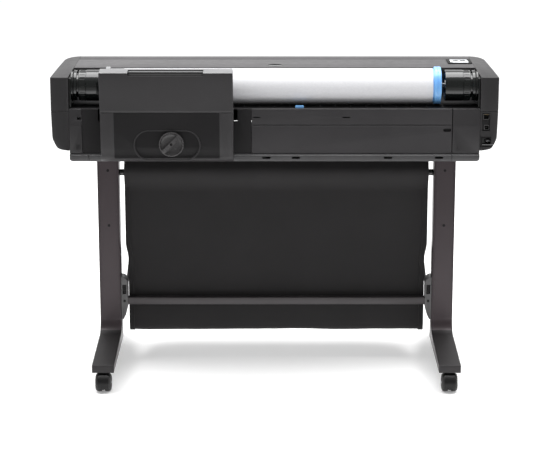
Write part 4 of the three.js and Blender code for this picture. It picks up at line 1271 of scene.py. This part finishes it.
def feeder_knob():
    """Round knob: two scooped halves either side of a straight ridged grip."""
    low, high = box_mm("feeder_knob")
    pivot = joint_mm("feeder_knob_turn")
    radius = (high.x - low.x) / 2
    face = pivot.y
    crown = 11.0
    middle = (0, 0, 0)
    body = disc(radius, face - crown, face, "Y", middle, edge=1.6, steps=96)
    depths = [(2.6, 0.5), (2.6, 20), (3.4, 25), (5.2, 29), (7.6, 31.6), (10, 33), (14, 34), (22, 34.4),
              (22, 0.5)]
    bowl = lathe([(face - depth, across) for depth, across in depths], "Y", middle, 96)
    grip = cutter(-radius, radius, face - 24, face, -6.4, 6.4)
    dimple = disc(3.9, face - 14, face - 2, "Y", middle, edge=0.2, steps=32)
    body = cut(body, cut(bowl, grip), dimple)
    crest = face - crown
    ridges = []
    for z in (-4.9, 0, 4.9):
        ridge = block(-radius + 5, radius - 5, crest - 1.0, crest + 0.5, z - 0.7, z + 0.7, bevel=0.3)
        ridges.append(cut(ridge, disc(5, face - 16, face, "Y", middle, edge=0.1, steps=32)))
    axle = disc(6, face - 1, face + 8, "Y", middle, edge=0.4, steps=40)
    knob = moved(merged(body, *ridges, axle), (pivot.x, 0, pivot.z), (-45, "Y"))
    finish_piece("feeder_knob_body", knob, "knob", "feeder_knob",
                 replaces=["feeder_knob"])


def feeder():
    """Sheet feeder on the left of the rear: housing, flap, tray, knob and pick roller."""
    feeder_housing()
    feeder_cover()
    tray_extension()
    feeder_knob()
    pick_roller()


def pick_roller():
    """Thin roller with two ribbed rubber tyres, which takes a sheet in."""
    low, high = box_mm("pick_roller")
    centre = axis_middle("pick_roller_turn")
    finish_piece("pick_roller_bar", disc(3, low.x, high.x, "X", centre, edge=0.4, steps=24), "roller_metal",
                 "pick_roller", replaces=["pick_roller"])
    tyres = []
    for x in (-350, -260):
        tyres.append(disc(12, x - 15, x + 15, "X", centre, edge=0.8, steps=40))
        tyres += [disc(12.3, rib - 1, rib + 1, "X", centre, edge=0.4, steps=40)
                  for rib in range(x - 12, x + 13, 6)]
    finish_piece("pick_roller_tyres", merged(*tyres), "roller_rubber", "pick_roller")


# ---------------------------------------------------------------- stand
def foot_fillet(corner_y, direction):
    """Curve from the column down on to the top of the foot, 38 mm each way."""
    sweep = 38.0
    start = Vector((corner_y, 96 + sweep))
    middle = Vector((corner_y + direction * 6, 98))
    end = Vector((corner_y + direction * sweep, 96))
    points = []
    for step in range(13):
        t = step / 12
        point = (1 - t) ** 2 * start + 2 * (1 - t) * t * middle + t * t * end
        points.append((point.x, point.y))
    return points


def foot_inner(y):
    """Where the foot's inner side is in x: it tapers forward of the column."""
    low, high = box_mm("leg_right")
    return low.x + FOOT_TAPER * (y - COLUMN_FRONT) / (high.y - COLUMN_FRONT)


def leg(side, tag):
    """Column on a long foot in one casting, the foot in a darker copy of the leg paint as painted shade,
    with plastic caps on the foot's ends.
    """
    node = f"leg_{tag}"
    low, high = box_mm("leg_right")
    cap = 3.2
    outline = [(low.y + cap, low.z), (high.y - cap, low.z), (high.y - cap, FOOT_TOP)]
    outline += list(reversed(foot_fillet(COLUMN_FRONT, 1)))
    outline += [(COLUMN_FRONT, high.z), (COLUMN_REAR, high.z)] + foot_fillet(COLUMN_REAR, -1)
    outline.append((low.y + cap, FOOT_TOP))
    casting = prism(outline, "X", low.x, high.x, bevel=3.2, segments=4)
    wedge = prism([(low.x - 5, COLUMN_FRONT), (low.x, COLUMN_FRONT), (foot_inner(high.y + 1), high.y + 1),
                   (low.x - 5, high.y + 1)], "Z", low.z - 5, 200, bevel=0)
    front_well = [(foot_inner(155) + 2, 155), (high.x - 2, 155), (high.x - 2, 305),
                  (foot_inner(305) + 2, 305)]
    wells = [cutter(low.x + 2, high.x - 2, -165, 70, low.z - 5, low.z + 21),
             prism(front_well, "Z", low.z - 5, low.z + 21, bevel=0)]
    pivots = [joint_mm(name) for name in ("caster_swivel_rear_right", "caster_swivel_front_right")]
    stems = [disc(5.3, low.z - 1, low.z + 18, "Z", (pivot.x, pivot.y, 0), edge=0.1, steps=24)
             for pivot in pivots]
    flutes = [cutter(x - 0.9, x + 0.9, COLUMN_REAR - 2, COLUMN_REAR + 0.9, 140, 640)
              for x in (low.x + 7, high.x - 7)]
    casting = cut(casting, wedge, *wells, *stems, *flutes)
    cap_top = FOOT_TOP - 0.4
    ends = merged(
        block(low.x + 0.4, high.x - 0.4, low.y, low.y + cap - 0.1, low.z + 0.2, cap_top,
              bevel=1.2, segments=3),
        block(foot_inner(high.y) + 0.4, high.x - 0.4, high.y - cap + 0.1, high.y, low.z + 0.2, cap_top,
              bevel=1.2, segments=3))
    middle = (low.x + high.x) / 2
    screws = merged(*[screw_head(middle, COLUMN_REAR - 0.1, z, "rear", 4.2) for z in (430, 600)])
    handed(side, casting, ends, screws)
    casting = finish_piece(node + "_casting", casting, "leg_paint", replaces=[node], sharp=40)
    # Faces low on the foot get the darker copy: painted shade.
    two_tone(casting, "foot_painted_shade", lambda face: face.center.z < FOOT_SHADE_TOP * MM)
    finish_piece(node + "_end_caps", ends, "foot_cap")
    finish_piece(node + "_screws", screws, "dark_plastic")


def bracket(side, tag):
    """Moulded bracket: ribbed upper ear with a deep window, tapering skirt below the crossbar."""
    node = f"bar_bracket_{tag}"
    low, high = box_mm("bar_bracket_right")
    front = 133.0
    outline = [(low.x, 176), (low.x + 1.5, 166), (low.x + 6, 148), (high.x - 6.5, 133), (high.x, 133),
               (high.x, 267), (high.x - 6, 267), (high.x - 11, 264), (low.x + 1.5, 256), (low.x, 250)]
    ear = prism(outline, "Y", low.y, front, bevel=1.0, segments=3)
    window = cutter(low.x + 4, high.x - 4, low.y - 2, front - 8, 213, 242)
    flutes = [cutter(x - 0.7, x + 0.7, low.y - 2, low.y + 1.4, 128, 172) for x in (low.x + 9, low.x + 13.5)]
    lug = block(low.x + 9.7, high.x, front - 1, high.y, 214, 238, bevel=0.8)
    moulding = merged(cut(ear, window, *flutes), lug)
    teeth = merged(*[block(low.x + 5, high.x - 5, low.y + 5, low.y + 9, z, z + 1.6, bevel=0.4, segments=1)
                     for z in (217, 223, 229, 235)])
    bolt = screw_head((low.x + high.x) / 2, low.y, 191, "rear", 4.0)
    handed(side, moulding, teeth, bolt)
    finish_piece(node + "_moulding", moulding, "bracket", replaces=[node])
    finish_piece(node + "_ratchet", teeth, "strip")
    finish_piece(node + "_bolt", bolt, "dark_plastic")


def bars():
    """Crossbar between the legs, and the rod that the bin's wall hangs from."""
    low, high = box_mm("crossbar")
    corners = [(low.y, low.z), (high.y, low.z), (high.y, high.z), (low.y, high.z)]
    tube = prism(corners, "X", low.x, high.x, bevel=2.4, segments=4)
    finish_piece("crossbar_tube", tube, "crossbar", replaces=["crossbar"])

    low, high = box_mm("bin_rod")
    centre = (0, (low.y + high.y) / 2, (low.z + high.z) / 2)
    radius = (high.z - low.z) / 2
    rod = disc(radius - 0.2, low.x + 6, high.x - 6, "X", centre, edge=0.5, steps=40)
    finish_piece("bin_rod_tube", rod, "dark_plastic", replaces=["bin_rod"])
    ends = [disc(radius, x, x + 13, "X", centre, edge=1.0, steps=40) for x in (low.x, high.x - 13)]
    finish_piece("bin_rod_caps", merged(*ends), "gloss_black")


def bin_frame():
    """Front rod and the two arms that carry it."""
    low, high = box_mm("bin_frame")
    pivot = joint_mm("bin_frame_fold")
    tip = Vector(FRONT_ROD)
    start = Vector((pivot.y, pivot.z))
    along = (tip - start).normalized()
    across = Vector((-along.y, along.x))
    outer = high.x
    inner = high.x - 6.4
    angle = math.degrees(math.atan2(along.y, along.x))
    near = start + along * 26
    far = tip - along * 18
    bar = arc(start, 9.5, angle + 130, angle + 230, 10)
    bar += [tuple(near - across * 6.5), tuple(far - across * 6.5)]
    bar += arc(tip, 10, angle - 110, angle + 110, 16)
    bar += [tuple(far + across * 6.5), tuple(near + across * 6.5)]
    arm = prism(bar, "X", inner, outer, bevel=0.9, segments=3)
    near = start + along * 34
    far = tip - along * 26
    groove = [tuple(near - across * 3), tuple(far - across * 3), tuple(far + across * 3),
              tuple(near + across * 3)]
    arm = cut(arm, prism(groove, "X", inner - 1, inner + 1.2, bevel=0))
    pin = disc(4.4, outer - 7.4, outer - 0.2, "X", (0, pivot.y, pivot.z), edge=0.8, steps=28)
    twin = mirrored(arm.copy())
    twin_pin = mirrored(pin.copy())
    finish_piece("bin_arms", merged(arm, twin), "dark_plastic", "bin_frame", replaces=["bin_frame"])
    finish_piece("bin_arm_pins", merged(pin, twin_pin), "socket_metal", "bin_frame")
    rod = disc(7, low.x + 1, high.x - 1, "X", (0, tip.x, tip.y), edge=0.6, steps=36)
    finish_piece("bin_front_rod", rod, "dark_plastic", "bin_frame")


def cloth_strip(path, columns, thickness, wave=None):
    """Cloth carried along a path in the (y, z) plane; columns gives the x stations at a height."""
    bm = bmesh.new()
    rows = []
    for index, (y, z) in enumerate(path):
        across = path_normal(path[max(0, index - 1)], path[min(len(path) - 1, index + 1)])
        along = index / (len(path) - 1)
        row = []
        for x in columns(z):
            lift = wave(x, z, along) if wave else 0.0
            row.append(bm.verts.new((x, y + across.x * lift, z + across.y * lift)))
        rows.append(row)
    for first, second in zip(rows, rows[1:]):
        for i in range(len(first) - 1):
            bm.faces.new((first[i], first[i + 1], second[i + 1], second[i]))
    bmesh.ops.recalc_face_normals(bm, faces=bm.faces)
    bmesh.ops.solidify(bm, geom=bm.faces[:], thickness=thickness)
    return bm


def path_normal(before, after):
    """Direction square to a path in the (y, z) plane, between two of its points."""
    return Vector((-(after[1] - before[1]), after[0] - before[0])).normalized()


def bin_half_width(z):
    """The cloth is a little wider along its upper edge."""
    return 453.2 + 7.2 * smoothstep((z - 318) / 50)


def cloth_columns(z, margin):
    """The x stations across the cloth at a height, a margin inside its full width."""
    half = bin_half_width(z) - margin
    return [half * (2 * i / CLOTH_COLUMNS - 1) for i in range(CLOTH_COLUMNS + 1)]


def hem_columns(z, side):
    """The x stations across the hem on one side of the cloth."""
    half = bin_half_width(z)
    inner = side * (half - HEM_WIDTH)
    outer = side * half
    return [inner + (outer - inner) * i / 4 for i in range(5)]


def cloth_wave(x, z, along):
    """Soft vertical folds that die out at the printer, the trough's arms and the front rod."""
    hold = smoothstep(along / 0.12) * smoothstep((0.86 - along) / 0.16)
    soft = noise.noise(Vector((x * 0.006, z * 0.0022, 3.1))) * 3.4
    fine = noise.noise(Vector((x * 0.02, z * 0.008, 9.7))) * 0.7
    belly = 2.2 * math.cos(math.pi * x / 920) * math.sin(math.pi * min(1.0, along / 0.5))
    near_arm = smoothstep((450 - abs(x)) / 40)
    return hold * (0.35 + 0.65 * near_arm) * (soft + fine) + hold * belly


def hem_wave(x, z, along):
    """The hem lies just outside the cloth."""
    return cloth_wave(x, z, along) - 0.8


def sewn(name, bm, material="bin_cloth", replaces=()):
    """Finishes a piece of the bin without a body to ride on, its place baked into the mesh."""
    piece = finish_piece(name, bm, material, body=None, replaces=replaces, sharp=60)
    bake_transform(piece)
    return piece


def hem_stitches(side, rows):
    """Two rows of thread along the hem, on both faces of the cloth."""
    stitches = []
    for index in range(2, len(rows) - 6):
        y, z = rows[index]
        after = rows[index + 1]
        angle = math.degrees(math.atan2(after[1] - z, after[0] - y))
        normal = path_normal(rows[index], after)
        for inset in (3.0, HEM_WIDTH - 3.0):
            x = side * (bin_half_width(z) - inset)
            lift = hem_wave(x, z, index / (len(rows) - 1))
            for face in (-1.5, 1.5):
                stitch = block(-0.45, 0.45, -2.1, 2.1, -0.35, 0.35, bevel=0.3, segments=1)
                place = (x, y + normal.x * (lift + face), z + normal.y * (lift + face))
                stitches.append(moved(stitch, place, (angle, "X")))
    return merged(*stitches)


def rod_channel(wall):
    """Channel sewn on the rear of the wall, which the rear rod runs through."""
    low, high = box_mm("bin_rod")
    y = (low.y + high.y) / 2 - 10.6
    z = (low.z + high.z) / 2
    path = [(wall - 1.0, z + 46)]
    path += bezier(path[-1], (wall - 1.4, z + 24), (y, z + 20), (y, z + 1), 14)
    path += bezier(path[-1], (y, z - 20), (wall - 1.4, z - 34), (wall - 1.0, z - 62), 16)
    rows, _ = resampled(path, 5.0)
    strip = cloth_strip(rows, lambda height: cloth_columns(height, 0.2), 0.8)
    return finish_piece("bin_rod_channel", strip, "bin_cloth", sharp=60)


def bin_fabric():
    """Bin of woven nylon: a hanging wall, a rounded trough and a front edge sewn round its rod."""
    low, high = box_mm("bin_fabric")
    wall = low.y + 1.0
    floor = low.z + 0.8
    front, top = FRONT_ROD
    path = [(wall, high.z), (wall + 0.4, 400.0), (wall + 1.0, floor + 60)]
    path += bezier(path[-1], (wall + 2, floor), (wall + 10, floor), (wall + 28, floor), 20)
    path += bezier(path[-1], (wall + 88, floor), (front - 52, floor + 92), (front - 7.2, top - 6.0), 40)
    path += arc(FRONT_ROD, 8.6, -140, 150, 30)
    rows, length = resampled(path, 7.0)
    woven = cloth_strip(rows, lambda height: cloth_columns(height, 0.4), 0.9, cloth_wave)
    cloth = sewn("bin_fabric_cloth", woven, replaces=["bin_fabric"])
    for side, tag in SIDES:
        strip = cloth_strip(rows[:-4], lambda height, side=side: hem_columns(height, side), 2.6, hem_wave)
        sewn(f"bin_hem_{tag}", strip)
        sewn(f"bin_stitching_{tag}", hem_stitches(side, rows), "thread")
    sleeve = rod_channel(wall)


def caster_hood(trail, height):
    """Rounded hood over the wheels with its web, neck, stem and boss, before it is placed."""
    profile = [(-17.0, 28.3), (-16.8, 29.6), (-15.4, 30.6), (-12.0, 31.0), (12.0, 31.0), (15.4, 30.6),
               (16.8, 29.6), (17.0, 28.3)]
    rings = []
    for step in range(33):
        angle = math.radians(38 + 168 * step / 32)
        rings.append([(x, trail + radius * math.cos(angle), height + radius * math.sin(angle))
                      for x, radius in profile])
    hood = bevelled(loft(rings), 0.5, 2, angle=50)
    outline = arc((trail, height), 28.6, 30, 215, 24) + [(trail - 10, 10), (trail + 8, 12)]
    web = prism(outline, "X", -3.8, 3.8, bevel=0.6)
    neck = disc(13, 55, 59, "Z", (0, 0, 0), edge=0.8, steps=40)
    stem = disc(5, 50, 76, "Z", (0, 0, 0), edge=0.8, steps=28)
    boss = block(-10, 10, -18, 11, 49, 56, bevel=2.0, segments=3)
    return merged(hood, web, neck, stem, boss)


def caster_brake(trail):
    """Brake tab with three grip ribs."""
    edge = trail - 31.0
    tab = prism(rounded(-9, 9, 17, 31, 3), "Y", edge + 0.8, edge + 6, bevel=0.9)
    grips = [block(-6, 6, edge + 0.2, edge + 1.4, z, z + 1.2, bevel=0.3) for z in (20, 23, 26)]
    return merged(tab, *grips)


def caster_wheels(centre, half):
    """Two wheels back to back, each a rounded tyre with a sunk hub and eight spokes."""
    tyre = [(4.6, 8), (4.6, 24.6), (5.0, 25.8), (6.6, 27.0), (14.4, 27.0), (14.9, 26.2), (15.9, 26.2),
            (16.4, 26.9), (18.6, 26.0), (20.6, 24.6), (22.2, 22.6), (half, 20.0), (half, 18.0),
            (22.0, 17.2), (21.2, 16.0), (21.2, 8.5), (22.4, 7.4), (22.4, 4.4), (7.0, 4.4)]
    wheel = lathe(tyre, "X", centre, 72)
    spokes = []
    for number in range(8):
        spoke = block(20.4, 21.9, -1.1, 1.1, 8.2, 16.4, bevel=0.4)
        spokes.append(moved(moved(spoke, turn=(number * 45, "X")), centre))
    wheel = merged(wheel, *spokes)
    twin = mirrored(wheel.copy())
    return merged(wheel, twin)


def caster(corner):
    """Twin-wheel caster: hood and brake tab turn with the fork, wheels and axle roll in it."""
    pivot = joint_mm(f"caster_swivel_{corner}")
    axle = joint_mm(f"wheels_roll_{corner}")
    place = (pivot.x, pivot.y, 0)
    turn = (180 if axle.y > pivot.y else 0, "Z")
    centre = (0, -abs(axle.y - pivot.y), axle.z)
    half = 23.0
    hood = moved(caster_hood(centre[1], centre[2]), place, turn)
    finish_piece(f"caster_{corner}_hood", hood, "hood", f"caster_{corner}",
                 replaces=[f"caster_fork_{corner}"], sharp=40)
    brake = moved(caster_brake(centre[1]), place, turn)
    finish_piece(f"caster_{corner}_brake", brake, "dark_plastic", f"caster_{corner}")
    wheels = moved(caster_wheels(centre, half), place, turn)
    finish_piece(f"caster_{corner}_tyres", wheels, "caster_tyre", f"wheels_{corner}",
                 replaces=[f"caster_wheels_{corner}"], sharp=34)
    pin = moved(disc(4.2, -half, half, "X", centre, edge=0.6, steps=28), place, turn)
    finish_piece(f"caster_{corner}_axle", pin, "socket_metal", f"wheels_{corner}")


def stand():
    """Legs, brackets, bars, paper bin and casters, measured from the middle of the crossbar."""
    low, high = box_mm("crossbar")
    MIDDLE["x"] = (low.x + high.x) / 2
    for side, tag in SIDES:
        leg(side, tag)
        bracket(side, tag)
    bars()
    bin_frame()
    bin_fabric()
    for corner in CORNERS:
        caster(corner)
    MIDDLE["x"] = 0.0


# ---------------------------------------------------------------- camera, light and floor
def camera():
    """A long lens far behind the printer, looking down on the side where paper is loaded."""
    data = bpy.data.cameras.new("camera")
    data.lens = CAMERA_LENS
    data.sensor_width = 36
    data.clip_end = 60
    obj = bpy.data.objects.new("camera", data)
    obj.location = CAMERA_PLACE
    obj.rotation_euler = (math.radians(CAMERA_TILT), 0, 0)
    bpy.context.scene.collection.objects.link(obj)
    bpy.context.scene.camera = obj


def area_light(name, place, target, size, power, mirrored_in_gloss=True):
    """A rectangular soft box that faces its target."""
    data = bpy.data.lights.new(name, "AREA")
    data.shape = "RECTANGLE"
    data.size, data.size_y = size
    data.energy = power
    obj = bpy.data.objects.new(name, data)
    obj.location = place
    obj.rotation_euler = (Vector(target) - Vector(place)).to_track_quat("-Z", "Y").to_euler()
    obj.visible_glossy = mirrored_in_gloss
    bpy.context.scene.collection.objects.link(obj)


def sky_fade(tree, source, low, high, dim, bright):
    """A smooth change of brightness between two values of a direction's component."""
    node = tree.nodes.new("ShaderNodeMapRange")
    node.interpolation_type = "SMOOTHSTEP"
    for key, value in (("From Min", low), ("From Max", high), ("To Min", dim), ("To Max", bright)):
        node.inputs[key].default_value = value
    tree.links.new(source, node.inputs["Value"])
    return node.outputs["Result"]


def world():
    """A pale studio: bright above and behind the printer, dimmer on the side of the photographer."""
    sky = bpy.data.worlds.new("studio")
    bpy.context.scene.world = sky
    sky.use_nodes = True
    tree = sky.node_tree
    background = tree.nodes["Background"]
    background.inputs["Color"].default_value = (1, 1, 1, 1)
    place = tree.nodes.new("ShaderNodeTexCoord")
    split = tree.nodes.new("ShaderNodeSeparateXYZ")
    tree.links.new(place.outputs["Generated"], split.inputs["Vector"])
    walls = sky_fade(tree, split.outputs["Y"], -0.55, 0.35, FRONT_SKY, BACK_SKY)
    ceiling = sky_fade(tree, split.outputs["Z"], 0.6, 0.95, 0.0, CEILING)
    total = tree.nodes.new("ShaderNodeMath")
    tree.links.new(walls, total.inputs[0])
    tree.links.new(ceiling, total.inputs[1])
    tree.links.new(total.outputs["Value"], background.inputs["Strength"])


def floor():
    """Matt studio floor, pale around the printer and dimmer far out in front."""
    bm = bmesh.new()
    bmesh.ops.create_grid(bm, x_segments=8, y_segments=8, size=FLOOR_REACH)
    ground = plain_object("floor", bm)
    shader = Shader("floor_paint", 0.9, specular=0.1)
    split = shader.add("ShaderNodeSeparateXYZ")
    shader.link(shader.place, split.inputs["Vector"])
    fade = shader.add("ShaderNodeMapRange", interpolation_type="SMOOTHSTEP")
    fade.inputs["From Min"].default_value = FLOOR_FADE[0]
    fade.inputs["From Max"].default_value = FLOOR_FADE[1]
    shader.link(split.outputs["Y"], fade.inputs["Value"])
    tone = shader.math("MULTIPLY", fade.outputs["Result"], shader.spread(shader.noise(0.4), 0.98, 1.0))
    paint = shader.ramp(tone, [(0.0, (FLOOR_FAR,) * 3), (1.0, (FLOOR_NEAR,) * 3)])
    shader.color(paint)
    shader.link(paint, shader.surface.inputs["Emission Color"])
    shader.surface.inputs["Emission Strength"].default_value = FLOOR_GLOW
    ground.data.materials.append(shader.material)


camera()
rear_panels()
lower_casing()
for hand, hand_tag in SIDES:
    end_cover(hand, hand_tag)
    side_cover(hand, hand_tag)
side_frames()
top_panel()
front_cover()
front_panel()
roll_bay()
controls()
sockets()
power_inlet()
spindle()
paper_roll()
engine()
feeder()
stand()
world()
area_light("overhead", **OVERHEAD)
area_light("front_fill", **FRONT_FILL, mirrored_in_gloss=False)
area_light("low_fill", **LOW_FILL, mirrored_in_gloss=False)
floor()
bpy.context.scene.view_settings.view_transform = "Standard"
